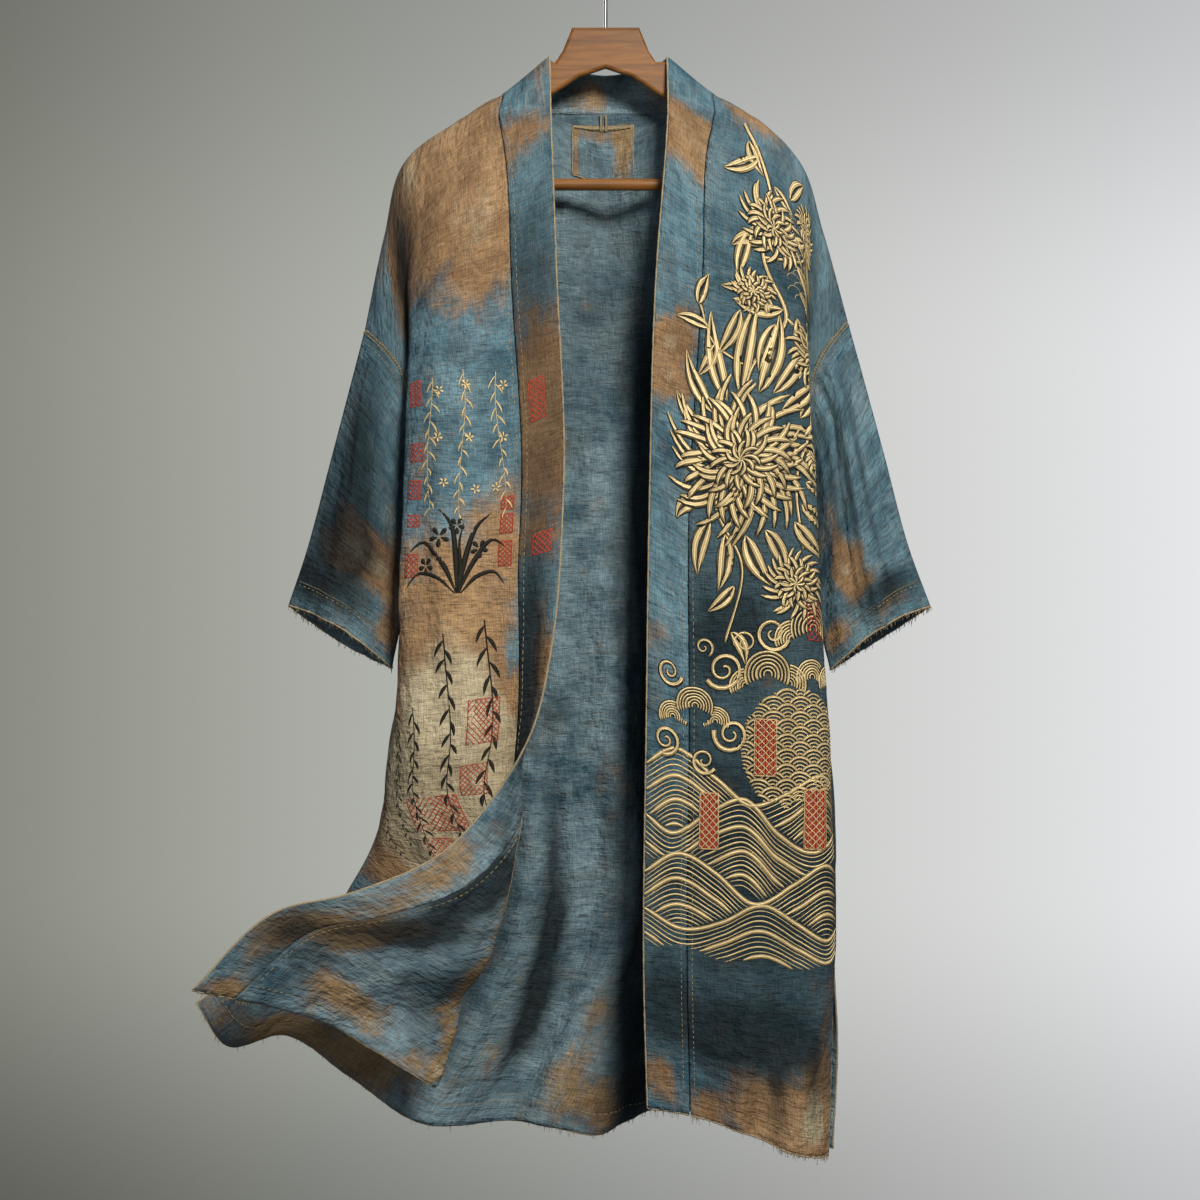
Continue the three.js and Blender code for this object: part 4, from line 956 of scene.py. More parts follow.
# Outer ridge and under edge in the plane of the arms, depth of each face, how far the front
# is lifted and how far the rear sags.
sleeves = {
    "right": [
        {"at": 0, "ridge": [-271, -433], "under": [-214, -541],
         "front": 15, "rear": 15, "lift": 12, "sag": -12},
        {"at": 0.25, "ridge": [-290, -506], "under": [-221, -608],
         "front": 24, "rear": 26, "lift": 6, "sag": -4},
        {"at": 0.5, "ridge": [-311, -586], "under": [-225, -682],
         "front": 30, "rear": 32, "lift": 4, "sag": 4},
        {"at": 0.78, "ridge": [-336, -680], "under": [-229, -756],
         "front": 32, "rear": 36, "lift": 7, "sag": 8},
        {"at": 1, "ridge": [-357, -743], "under": [-239, -813],
         "front": 30, "rear": 40, "lift": 12, "sag": 8},
    ],
    "left": [
        {"at": 0, "ridge": [273, -424], "under": [223, -546],
         "front": 15, "rear": 15, "lift": 12, "sag": -12},
        {"at": 0.25, "ridge": [291, -489], "under": [231, -614],
         "front": 24, "rear": 26, "lift": 6, "sag": -4},
        {"at": 0.5, "ridge": [314, -574], "under": [236, -684],
         "front": 30, "rear": 32, "lift": 4, "sag": 4},
        {"at": 0.78, "ridge": [341, -676], "under": [241, -760],
         "front": 32, "rear": 36, "lift": 7, "sag": 5},
        {"at": 1, "ridge": [366, -744], "under": [252, -815],
         "front": 28, "rear": 40, "lift": 13, "sag": 3},
    ],
}


def sleeve_cloth(side, seed, creases, dye_and_shade):
    """Sleeve as a ring of columns: front from ridge to under edge, then back to the ridge."""
    table = sleeves[side]
    outward = -1 if side == "right" else 1
    s = np.linspace(0, 1, 100)
    t_ring = np.linspace(0, 1, 121)
    ridge, under = column(table, "ridge", s), column(table, "under", s)
    front, rear, lift, sag = (
        spline([row["at"] for row in table], [[row[name]] for row in table], s)
        for name in ("front", "rear", "lift", "sag"))
    is_front = t_ring <= 0.5
    t = np.where(is_front, t_ring * 2, 2 - t_ring * 2)
    bow = np.sin(np.pi * t)
    start = (1 - smooth(s / 0.2))[:, None]
    x = ridge[:, :1] + (under[:, :1] - ridge[:, :1]) * t
    z = ridge[:, 1:] + (under[:, 1:] - ridge[:, 1:]) * t
    y = np.where(is_front, -front * bow, rear * bow)
    z = z + np.where(is_front, lift * bow, -sag * bow)
    x = x - outward * HEAD_BOW * bow * start + outward * (0.5 + 2.5 * t)
    z = z - start * bow * HEAD_SINK[side] - SLEEVE_DROP
    grid = np.stack([x, y, z], -1)
    grid[:, -1] = grid[:, 0]
    u = np.broadcast_to(t_ring, x.shape)
    ss = s[:, None] * np.ones_like(u)
    flat = np.stack([u, ss], -1) * SLEEVE_CUT
    out = np.zeros(u.shape)
    for c in creases:
        out += soft_crease(flat[..., 0], flat[..., 1], c["line"], c["wide"], c["out"])
    edge = near_edges(u, ss, 0.06, 0.05)
    grid = grid - outward * normals_of(grid, True) * (out * edge)[..., None]
    grid = wrinkled(grid, flat + seed * 50.0, edge * 0.9, seed, 1.0, True)
    half = np.full(u.shape, WALL / 2)
    thick = [half, half + hem_thickness(ss, SLEEVE_CUT, 8.25)]
    made = cloth_object("cloth_sleeve_" + side, grid, flat, thick, -outward, (dye_and_shade, dye_and_shade),
                        closed=True, shrink=0.66)
    robe["sleeve_" + side] = {"grid": grid, "flat": flat, "turn": -outward}
    made.data.materials.append(robe_linen)
    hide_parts("sleeve_" + side)


sleeve_cloth("right", 53, [
    {"line": [(30, 20), (55, 150), (60, 320)], "wide": 9, "out": 3.2},
    {"line": [(75, 40), (90, 170), (105, 320)], "wide": 9, "out": -3.4},
    {"line": [(120, 60), (125, 200), (140, 320)], "wide": 9, "out": 2.6},
    {"line": [(20, 150), (35, 240), (40, 330)], "wide": 7, "out": -2.2},
    {"line": [(200, 20), (215, 180), (210, 320)], "wide": 12, "out": 3.0},
    {"line": [(270, 40), (262, 200), (270, 320)], "wide": 12, "out": -3.0},
], [
    # The "deep" rows darken the sleeve, partly as deeper dye and partly as painted shade of its folds.
    {"a": 100, "b": 206, "wide": 60, "tall": 34, "tan": 0.85, "deep": 0.35},
    {"a": 132, "b": 232, "wide": 30, "tall": 30, "tan": 0.5},
    {"a": 62, "b": 238, "wide": 44, "tall": 30, "tan": 0.7, "deep": 0.7},
    {"a": 50, "b": 292, "wide": 70, "tall": 26, "tan": 0.2, "deep": 0.75},
    {"a": 150, "b": 280, "wide": 20, "tall": 40, "tan": 0.45},
    {"a": 70, "b": 150, "wide": 44, "tall": 110, "deep": 0.75},
    {"a": 20, "b": 220, "wide": 34, "tall": 120, "deep": 0.5},
    {"a": 30, "b": 60, "wide": 40, "tall": 90, "deep": 0.3},
    {"a": 235, "b": 150, "wide": 80, "tall": 150, "deep": 0.3},
    {"a": 230, "b": 260, "wide": 60, "tall": 40, "tan": 0.6},
])
sleeve_cloth("left", 61, [
    {"line": [(60, 10), (75, 120), (80, 320)], "wide": 7, "out": 4.4},
    {"line": [(90, 20), (105, 130), (110, 320)], "wide": 8, "out": -4.2},
    {"line": [(28, 30), (45, 160), (45, 320)], "wide": 8, "out": -2.6},
    {"line": [(135, 60), (130, 200), (140, 320)], "wide": 9, "out": 2.6},
    {"line": [(215, 20), (205, 180), (215, 320)], "wide": 12, "out": 3.0},
    {"line": [(280, 40), (272, 200), (280, 320)], "wide": 12, "out": -3.0},
], [
    {"a": 104, "b": 236, "wide": 24, "tall": 34, "tan": 0.95},
    {"a": 122, "b": 196, "wide": 12, "tall": 40, "tan": 0.7},
    {"a": 84, "b": 262, "wide": 26, "tall": 12, "tan": 0.5},
    {"a": 58, "b": 290, "wide": 46, "tall": 26, "deep": 0.9},
    {"a": 146, "b": 292, "wide": 24, "tall": 24, "tan": 0.5},
    {"a": 58, "b": 306, "wide": 34, "tall": 14, "tan": 0.35},
    # Narrow "deep" lines down the sleeve: painted shade along the troughs of its folds.
    {"a": 86, "b": 130, "wide": 9, "tall": 120, "deep": 0.6},
    {"a": 52, "b": 150, "wide": 7, "tall": 130, "deep": 0.45},
    {"a": 120, "b": 120, "wide": 8, "tall": 100, "deep": 0.4},
    {"a": 235, "b": 150, "wide": 80, "tall": 150, "deep": 0.35},
])


# Gold embroidery on the wearer's left front: spider chrysanthemums among long leaves, then
# clouds, wave scales and flowing water. Metal-wrapped thread is laid in rows and couched
# down, so it stands up and glints softly, and each shape has an outline of dark thread.
def on_cloth(panel, places, lift):
    """Points in millimetres at flat places (n, 2) of a panel, and the way off the cloth.

    lift is the distance from the middle of the cloth, out of the garment, or into it if
    it is below 0."""
    info = robe[panel]
    flat = info["flat"]
    if "both" not in info:
        n = normals_of(info["grid"], "sleeve" in panel) * info["turn"]
        info["both"] = np.concatenate([info["grid"], n], -1)
    places = np.asarray(places, float)
    rows = np.interp(places[:, 1], flat[:, 0, 1], np.arange(len(flat)))
    first = np.clip(rows.astype(int), 0, len(flat) - 2)
    out = np.zeros((len(places), 6))
    for k in np.unique(first):
        here = first == k
        for r, share in ((k, 1 - (rows[here] - k)), (k + 1, rows[here] - k)):
            run, values = flat[r, :, 0], info["both"][r]
            if run[-1] < run[0]:
                run, values = run[::-1], values[::-1]
            i = np.interp(places[here, 0], run, np.arange(len(run)))
            i0 = np.clip(i.astype(int), 0, len(run) - 2)
            h = (i - i0)[:, None]
            out[here] += (values[i0] * (1 - h) + values[i0 + 1] * h) * share[:, None]
    n = out[:, 3:] / np.linalg.norm(out[:, 3:], axis=1, keepdims=True)
    return out[:, :3] + n * lift, n * np.sign(lift)


def on_front(side, places, lift):
    """As on_cloth, across the seam: a is 0 there, above 0 on the panel, below on the band."""
    places = np.asarray(places, float)
    points, ways = np.zeros((len(places), 3)), np.zeros((len(places), 3))
    for panel, here in (("front_", places[:, 0] >= 0), ("collar_", places[:, 0] < 0)):
        if here.any():
            extra = 0.4 * np.sign(lift) if panel == "collar_" else 0
            points[here], ways[here] = on_cloth(panel + side, places[here], lift + extra)
    return points, ways


def bend(points, count):
    """Smooth open line through a few flat or space points, evenly spread."""
    points = np.asarray(points, float)
    gaps = np.linalg.norm(np.diff(points, axis=0), axis=1)
    at = np.concatenate([[0], np.cumsum(np.maximum(gaps, 1e-6))])
    if len(points) == 2:
        return points[0] + (points[1] - points[0]) * np.linspace(0, 1, count)[:, None]
    return spline(at, points, np.linspace(0, at[-1], count))


def directions(points):
    """Unit direction of a line at each of its points."""
    way = np.gradient(points, axis=0)
    return way / np.maximum(1e-9, np.linalg.norm(way, axis=1, keepdims=True))


def at_angle(a):
    """Flat places 1 mm away from (0, 0) at angles a."""
    return np.stack([np.cos(a), np.sin(a)], 1)


class Ribbons:
    """Many thin closed strips in one mesh, each with a raised middle, lying on the cloth."""

    def __init__(self):
        self.points, self.faces, self.uvs, self.count = [], [], [], 0

    def add(self, left, crown, right, along, wide):
        """Three rails of a strip in space; along and wide are its flat length and width."""
        n = len(crown)
        self.points.append(np.stack([left, crown, right], 1).reshape(-1, 3))
        ids = self.count + np.arange(3 * n).reshape(n, 3)
        p, q = ids[:-1], ids[1:]
        for i, j in ((0, 1), (1, 2), (2, 0)):
            self.faces += np.stack([p[:, i], q[:, i], q[:, j], p[:, j]], 1).tolist()
        self.faces += [ids[0].tolist(), ids[-1, ::-1].tolist()]
        self.uvs.append(np.stack([
            np.repeat(along[:, None], 3, 1),
            np.stack([-wide, 0 * wide, wide], 1)], -1).reshape(-1, 2))
        self.count += 3 * n

    def lay(self, place, path, widths, height=0.5, base=0.85):
        """Lays a strip on the cloth along a flat path, with its half widths.

        base is how far its foot lies from the middle of the cloth, and below 0 it lies on
        the inner face; height is how far its crown stands above its foot."""
        path = np.asarray(path, float)
        widths = np.broadcast_to(np.asarray(widths, float), len(path))
        way = directions(path)
        side = np.stack([-way[:, 1], way[:, 0]], 1) * widths[:, None]
        up = 1 if base > 0 else -1
        left, _ = place(path + side, base)
        right, _ = place(path - side, base)
        crown, _ = place(path, base + up * height)
        self.add(left, crown, right, running_length(path), widths)

    def build(self, name, material):
        """Makes one mesh of all the strips, with its faces turned outwards."""
        points = np.concatenate(self.points) / 1000
        mesh = bpy.data.meshes.new(name)
        mesh.from_pydata(points.tolist(), [], self.faces)
        unwrap(mesh, np.concatenate(self.uvs) / 1000)
        mesh.materials.append(material)
        made = bpy.data.objects.new(name, mesh)
        bpy.context.scene.collection.objects.link(made)
        bpy.context.view_layer.objects.active = made
        made.select_set(True)
        bpy.ops.object.mode_set(mode="EDIT")
        bpy.ops.mesh.select_all(action="SELECT")
        bpy.ops.mesh.normals_make_consistent(inside=False)
        bpy.ops.object.mode_set(mode="OBJECT")
        made.select_set(False)
        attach(made, "root")


def thread_material(name, dark, light, pitch, roughness, shine=0.0, depth=0.6, rows=0.0):
    """Embroidery or sewing thread: stitches of a pitch along it, rows of thread across it."""
    material, tree = fresh_material(name)
    shade = node(tree, "ShaderNodeBsdfPrincipled", inputs={
        "Roughness": roughness, "Metallic": shine, "Specular IOR Level": 0.25})
    tree.links.new(shade.outputs[0], node(tree, "ShaderNodeOutputMaterial").inputs[0])
    uv = node(tree, "ShaderNodeUVMap", {"uv_map": "UVMap"}).outputs[0]
    split = node(tree, "ShaderNodeSeparateXYZ", inputs={"Vector": uv})
    # 2 pi a thousand times: the map is in metres and the pitch in millimetres.
    angle_per_metre = 6283.2
    wave = node(tree, "ShaderNodeMath", {"operation": "SINE"}, {
        0: node(tree, "ShaderNodeMath", {"operation": "MULTIPLY"}, {
            0: split.outputs[1] if rows else split.outputs[0],
            1: angle_per_metre / (rows or pitch)}).outputs[0]})
    ridge = node(tree, "ShaderNodeMapRange", inputs={
        "Value": wave.outputs[0], "From Min": -1.0, "From Max": 1.0})
    where = node(tree, "ShaderNodeTexCoord").outputs["Object"]
    uneven = node(tree, "ShaderNodeTexNoise", inputs={
        "Vector": where, "Scale": 420.0, "Detail": 3.0, "Roughness": 0.7})
    both = node(tree, "ShaderNodeMath", {"operation": "MULTIPLY"}, {
        0: uneven.outputs[0], 1: 1.0 - depth})
    mixed = node(tree, "ShaderNodeMath", {"operation": "MULTIPLY_ADD"}, {
        0: ridge.outputs[0], 1: depth, 2: both.outputs[0]})
    tree.links.new(node(tree, "ShaderNodeMix", {"data_type": "RGBA"}, {
        0: mixed.outputs[0], 6: hex_colour(dark), 7: hex_colour(light)}).outputs[2],
        shade.inputs["Base Color"])
    tree.links.new(node(tree, "ShaderNodeBump", inputs={
        "Height": mixed.outputs[0], "Strength": 0.6, "Distance": 0.0006}).outputs[0],
        shade.inputs["Normal"])
    return material


def tapered(n, fat, tip=0.12, at=0.55):
    """Half widths of a petal or leaf: narrow foot, widest at a share of its length."""
    t = np.linspace(0, 1, n)
    body = np.where(t < at, 0.35 + 0.65 * smooth(t / at), tip + (1 - tip) * np.cos(
        np.clip((t - at) / (1 - at), 0, 1) * np.pi / 2) ** 0.8)
    return fat * body


gold_thread = thread_material("gold_couched_thread", "#86693A", "#F3E0AC", 1.9, 0.45, 0.15,
                              rows=2.6)
outline_thread = thread_material("dark_outline_thread", "#0F1617", "#222A2B", 1.6, 0.85)
left_place = lambda places, lift: on_front("left", places, lift)
rng = np.random.default_rng(7)
gold, outline = Ribbons(), Ribbons()


def stroke(path, widths, layer=0, border=0.9):
    """Gold strip with a dark one tucked under each of its edges, which shows as its outline."""
    lowest, layer_step, tuck, sunk = 1.0, 0.34, 0.15, 0.08
    path = np.asarray(path, float)
    base = lowest + layer_step * layer
    gold.lay(left_place, path, widths, 0.3, base)
    way = directions(path)
    side = np.stack([-way[:, 1], way[:, 0]], 1) * (widths + border / 2 - tuck)[:, None]
    for edge in (path + side, path - side):
        outline.lay(left_place, edge, border / 2 + tuck, 0.05, base - sunk)


def chrysanthemum(centre, radius, layers):
    """Long curling petals in rings, each ring shorter; layers are (count, reach, width, curl)."""
    centre = np.array(centre, float)
    for k, (count, reach, fat, curl) in enumerate(layers):
        for i in range(count):
            turn = 2 * np.pi * (i + 0.5 * (k % 2)) / count + rng.uniform(-0.06, 0.06)
            far = radius * reach * rng.uniform(0.88, 1.06)
            t = np.linspace(0.16 if k < 2 else 0.03, 1, 10)
            bow = turn + curl * t ** 1.6 * rng.uniform(0.75, 1.2)
            path = centre + at_angle(bow) * (far * t)[:, None]
            stroke(path, tapered(10, fat, 0.3, 0.7), 1.6 + k)


def leaf(foot, turn, length, fat, curl, layer):
    """Leaf as two rows of laid thread beside an open vein."""
    foot = np.array(foot, float)
    t = np.linspace(0, 1, 11)
    way = turn + curl * (t - 0.3)
    step = at_angle(way) * length / 10
    path = foot + np.concatenate([[[0, 0]], np.cumsum(step[:-1], 0)])
    side = np.stack([-np.sin(way), np.cos(way)], 1)
    bow = np.sin(np.pi * t ** 0.8) * fat
    for s in (-1, 1):
        stroke(path + side * (s * (bow * 0.5 + 0.3))[:, None], np.maximum(0.3, bow * 0.44), layer, 0.6)


def scroll(centre, radius, turns, start, fat, way=1):
    """Spiral tendril that thins towards its middle."""
    t = np.linspace(0, 1, int(14 * turns) + 8)
    r = radius * (1 - 0.86 * t)
    a = start + way * t * turns * 2 * np.pi
    path = np.array(centre) + at_angle(a) * r[:, None]
    stroke(path, fat * (1 - 0.55 * t), 0.5)


def runs_of(shown, least=3):
    """Start and end of each run of True that is long enough."""
    edges = np.flatnonzero(np.diff(np.concatenate([[0], shown.astype(int), [0]])))
    return [(p, q) for p, q in edges.reshape(-1, 2) if q - p >= least]


def cloud(centre, lobes, radius, fat):
    """Round lobes side by side, each of nested arcs; each lobe hides what is behind it."""
    for k, (da, db, share) in enumerate(lobes):
        for ring in range(6):
            r = radius * share * (1 - 0.165 * ring)
            a = np.linspace(-0.15, 1.15, 26) * np.pi + np.pi
            path = np.array([centre[0] + da, centre[1] + db]) + at_angle(a) * r
            shown = np.ones(len(a), bool)
            for other_a, other_b, other in lobes[k + 1:]:
                shown &= np.hypot(path[:, 0] - centre[0] - other_a,
                                  path[:, 1] - centre[1] - other_b) > radius * other + 1
            for p, q in runs_of(shown):
                stroke(path[p:q], np.full(q - p, fat if ring % 3 else fat * 1.4), 0.3)


for line, fat in (
    ([(38, 30), (84, 92), (70, 170), (96, 235), (60, 300), (52, 380)], 3.0),
    ([(70, 170), (118, 150), (150, 100)], 2.0),
    ([(96, 235), (132, 262), (140, 330), (120, 420), (128, 500)], 2.2),
    ([(52, 380), (30, 450), (60, 520), (40, 600)], 2.2),
    ([(60, 300), (16, 276), (-4, 230)], 1.6),
):
    path = bend(line, 46)
    stroke(path, fat * np.linspace(1, 0.7, 46))
for k, (foot, turn, length, fat, curl) in enumerate((
    ((44, 48), 0.9, 40, 8, -0.6), ((60, 60), 2.4, 48, 9, 0.7), ((112, 74), -1.2, 44, 9, 0.5),
    ((78, 150), 2.9, 50, 10, -0.8), ((74, 190), 2.6, 60, 10, 0.9), ((112, 160), 1.0, 52, 10, 0.6),
    ((140, 130), 1.2, 50, 9, 0.5), ((160, 110), 0.6, 34, 8, -0.5), ((92, 225), 3.0, 56, 10, 0.8),
    ((36, 338), -1.9, 98, 11, 0.5), ((50, 330), -1.5, 112, 12, 0.4), ((70, 326), -1.3, 96, 12, -0.5),
    ((86, 326), -1.0, 88, 11, -0.5), ((22, 352), -2.2, 70, 9, 0.7), ((96, 344), -0.7, 70, 11, -0.6),
    ((120, 350), -0.9, 66, 11, 0.5), ((126, 372), -0.5, 56, 11, 0.6), ((132, 398), -0.2, 50, 11, 0.6),
    ((130, 424), 0.1, 50, 11, -0.6), ((126, 450), 0.4, 54, 11, -0.7), ((118, 470), 0.8, 56, 10, -0.6),
    ((10, 448), 2.4, 40, 8, -0.9), ((24, 470), 1.9, 62, 10, -0.7), ((40, 484), 1.6, 62, 10, 0.6),
    ((64, 486), 1.2, 62, 11, -0.6), ((84, 480), 1.0, 56, 10, 0.7), ((50, 540), 2.3, 40, 8, 0.6),
    ((18, 278), 1.9, 42, 8, 0.7), ((10, 262), 3.3, 38, 7, -0.6), ((-2, 240), -1.4, 36, 7, 0.5),
    ((46, 590), 1.0, 40, 8, 0.9), ((150, 470), -0.5, 34, 8, 0.4), ((160, 330), -1.2, 48, 9, 0.5),
    ((86, 78), 0.4, 36, 7, 0.5), ((112, 196), 0.5, 46, 8, -0.5), ((120, 214), -0.2, 44, 8, 0.5),
    ((40, 196), -1.3, 60, 9, 0.4), ((44, 236), 1.9, 58, 9, 0.5), ((84, 244), 1.9, 60, 9, -0.4),
    ((108, 232), 1.4, 56, 9, 0.5), ((8, 372), -2.4, 44, 8, 0.6), ((134, 110), 2.4, 34, 7, 0.5),
)):
    leaf(foot, turn, length, fat, curl, 0.3 + 0.45 * (k % 3))
chrysanthemum((56, 402), 90, (
    (30, 1.0, 3.4, 0.55), (26, 0.82, 3.6, -0.4), (20, 0.62, 3.5, 0.6), (14, 0.42, 3.0, -0.5),
    (9, 0.22, 2.4, 0.8)))
for centre, radius, curl in (((142, 268), 46, -0.5), ((86, 128), 46, 0.6), ((150, 82), 30, -0.5),
                             ((120, 538), 40, 0.5), ((58, 212), 27, 0.5), ((172, 186), 24, 0.5),
                             ((152, 392), 26, -0.6)):
    fat = 1.5 + radius / 40
    chrysanthemum(centre, radius, (
        (20, 1.0, fat, curl), (16, 0.74, fat, -curl), (11, 0.48, fat * 0.9, curl),
        (7, 0.25, fat * 0.75, -curl)))
for centre, lobes, radius, fat in (
    ((140, 590), ((-26, 8, 0.8), (26, 10, 0.8), (0, -4, 1.1)), 24, 1.15),
    ((158, 634), ((-20, 4, 0.9), (8, 8, 0.9)), 20, 1.1),
    ((86, 640), ((-24, 8, 0.8), (24, 6, 0.9), (0, -4, 1.1)), 22, 1.1),
    ((4, 676), ((-22, 10, 0.8), (24, 10, 0.8), (2, -6, 1.0)), 19, 1.0),
):
    cloud(centre, lobes, radius, fat)
for centre, radius, turns, start, fat, way in (
    ((92, 592), 20, 1.6, 0.4, 2.6, 1), ((38, 630), 22, 1.7, 2.6, 2.8, -1),
    ((-22, 640), 15, 1.5, 0.2, 2.2, 1), ((46, 700), 20, 1.7, 3.4, 2.8, -1),
    ((-26, 712), 16, 1.6, 1.8, 2.4, -1), ((16, 728), 15, 1.5, 0.6, 2.2, 1),
    ((62, 602), 13, 1.4, 3.0, 1.8, 1), ((16, 606), 11, 1.3, 1.0, 1.6, -1),
):
    scroll(centre, radius, turns, start, fat, way)
# Wave scales: rows of nested arcs, each row hiding the feet of the row behind it.
reach = 16.0
disc_a, disc_b, disc_wide, disc_tall = 118, 716, 62, 66
edge_band, edge_side = -48, 178
for row in range(17):
    for i in range(6):
        centre = np.array([44 + 2 * reach * i + reach * (row % 2), 652 + reach / 2 * row])
        for ring in range(4):
            a = np.linspace(0, np.pi, 21)
            path = centre + at_angle(-a) * reach * (1 - 0.25 * ring)
            shown = np.hypot((path[:, 0] - disc_a) / disc_wide,
                             (path[:, 1] - disc_b) / disc_tall) < 1
            for da, db in ((-reach, reach / 2), (reach, reach / 2), (0, reach)):
                shown &= np.hypot(path[:, 0] - centre[0] - da,
                                  path[:, 1] - centre[1] - db) > reach + 0.8
            shown &= path[:, 0] < edge_side
            for p, q in runs_of(shown):
                stroke(path[p:q], np.full(q - p, 1.5 if ring == 0 else 1.0), 0, 0.5)
# Flowing water: under each swell the rows of thread keep its curve until the next one cuts in.
swells = [
    [(-48, 742), (-14, 720), (30, 746), (70, 776), (112, 762), (150, 742), (184, 762)],
    [(-48, 792), (-20, 806), (20, 784), (60, 770), (100, 804), (140, 824), (184, 800)],
    [(-48, 850), (-10, 828), (30, 846), (74, 876), (120, 858), (158, 838), (184, 846)],
    [(-48, 890), (-8, 908), (40, 896), (80, 880), (124, 900), (160, 916), (184, 898)],
    [(-48, 940), (-10, 930), (40, 944), (84, 938), (130, 952), (160, 944), (184, 938)],
]
across = np.linspace(edge_band, edge_side, 90)
heights = [np.interp(across, *bend(s, 120).T) for s in swells]
thread_gap = 5.2
for k in range(4):
    top, foot = heights[k], heights[k + 1]
    for row in range(18):
        line = top + row * thread_gap + 1.3 * np.sin(across / 19 + 2.1 * k + 0.4 * row)
        fat = 2.5 if row % 5 == 0 else (1.2 if row % 5 == 3 else 0.62)
        for p, q in runs_of((line < foot - 2.0) | (row == 0), 6):
            path = np.stack([across, line], 1)[p:q]
            thin = np.minimum(1, np.minimum(np.arange(q - p) + 1, q - p - np.arange(q - p)) / 5)
            gold.lay(left_place, path, fat * (0.35 + 0.65 * thin), 0.4)
gold.build("gold_embroidery_left", gold_thread)
outline.build("dark_outlines_left", outline_thread)

# Net on the wearer's left shoulder: rows of small fish-scale arcs, each a single pale gold
# thread sewn flat to the cloth. It stops where the flower beside it begins.
pale_thread = thread_material("pale_gold_thread", "#8F7E58", "#D8C79A", 1.4, 0.55, 0.1)
net = Ribbons()
scale_wide, scale_tall = 15.5, 8.2
flower_a, flower_b, flower_radius = 142, 268, 46
for row in range(14):
    for i in range(7):
        centre = (106 + scale_wide * i + scale_wide / 2 * (row % 2), 100 + scale_tall * row)
        beside = np.hypot(centre[0] - flower_a, centre[1] - flower_b) > flower_radius
        if centre[0] < 186 and beside:
            a = np.linspace(0, np.pi, 9)
            path = np.array(centre) + at_angle(-a) * scale_tall
            net.lay(left_place, path, 0.42, 0.15)
net.build("gold_net_left", pale_thread)


# Brushed and printed work on the wearer's right front: hanging willow twigs in gold thread
# and in black ink, an orchid in black ink, and small lattice blocks printed in red. Ink and
# paste sink into the yarns, so both are matt.
black_ink = thread_material("black_brush_ink", "#14130E", "#2B2A22", 3.0, 0.85, depth=0.3)
red_print = thread_material("red_print_paste", "#842E21", "#B84E3B", 1.1, 0.85, depth=0.3)
right_place = lambda places, lift: on_front("right", places, lift)


def twig(bag, top, length, sway, blade, fat):
    """Hanging willow twig: a long thin stem with narrow leaves by turns on either side."""
    t = np.linspace(0, 1, 34)
    phase = rng.uniform(0, 6)
    stem = np.array(top) + np.stack(
        [sway * (np.sin(4.5 * t + phase) - np.sin(phase)), t * length], 1)
    bag.lay(right_place, stem, fat * 0.42 * (1 - 0.5 * t), 0.12)
    side = 1
    at = 0.03
    while at < 1:
        foot = np.array([np.interp(at, t, stem[:, k]) for k in (0, 1)])
        way = np.pi / 2 - side * (rng.uniform(0.55, 0.95) - 0.6 * np.linspace(0, 1, 8))
        far = blade * rng.uniform(0.75, 1.1) * (1 - 0.3 * at)
        steps = at_angle(way)[:-1] * far / 7
        path = foot + np.concatenate([[[0, 0]], np.cumsum(steps, 0)])
        bag.lay(right_place, path, tapered(8, fat, 0.08, 0.4), 0.15)
        side = -side
        at += rng.uniform(0.42, 0.62) * blade / length


def blossom(bag, centre, radius, fat):
    """Small flat flower of five petals."""
    spin = rng.uniform(0, 1)
    for k in range(5):
        turn = spin + k * 2 * np.pi / 5
        t = np.linspace(0.2, 1, 6)
        path = np.array(centre) + np.stack([np.cos(turn) * t, np.sin(turn) * t], 1) * radius
        bag.lay(right_place, path, tapered(6, fat, 0.4, 0.6), 0.2)


def lattice(bag, place, corner, wide, tall, line, step):
    """Printed block: a plain frame filled with a slanting lattice, its lines a step apart."""
    x, y = corner
    rails = [[(x, y), (x + wide, y)], [(x, y + tall), (x + wide, y + tall)],
             [(x, y), (x, y + tall)], [(x + wide, y), (x + wide, y + tall)]]
    for c in np.arange(-tall + step * 0.5, wide, step):
        low, high = max(0, -c), min(tall, wide - c)
        if high - low > 1:
            rails += [[(x + c + low, y + low), (x + c + high, y + high)],
                      [(x + wide - c - low, y + low), (x + wide - c - high, y + high)]]
    for rail in rails:
        bag.lay(place, bend(rail, 6), line, 0.1)


gold = Ribbons()
for top, length in (((24, 300), 152), ((60, 294), 162), ((94, 300), 146)):
    twig(gold, top, length, 5, 17, 1.35)
    for share in (0.1, 0.46, 0.8):
        blossom(gold, (top[0] + rng.uniform(-9, 9), top[1] + share * length), 5.5, 1.7)
gold.build("gold_twigs_right", gold_thread)

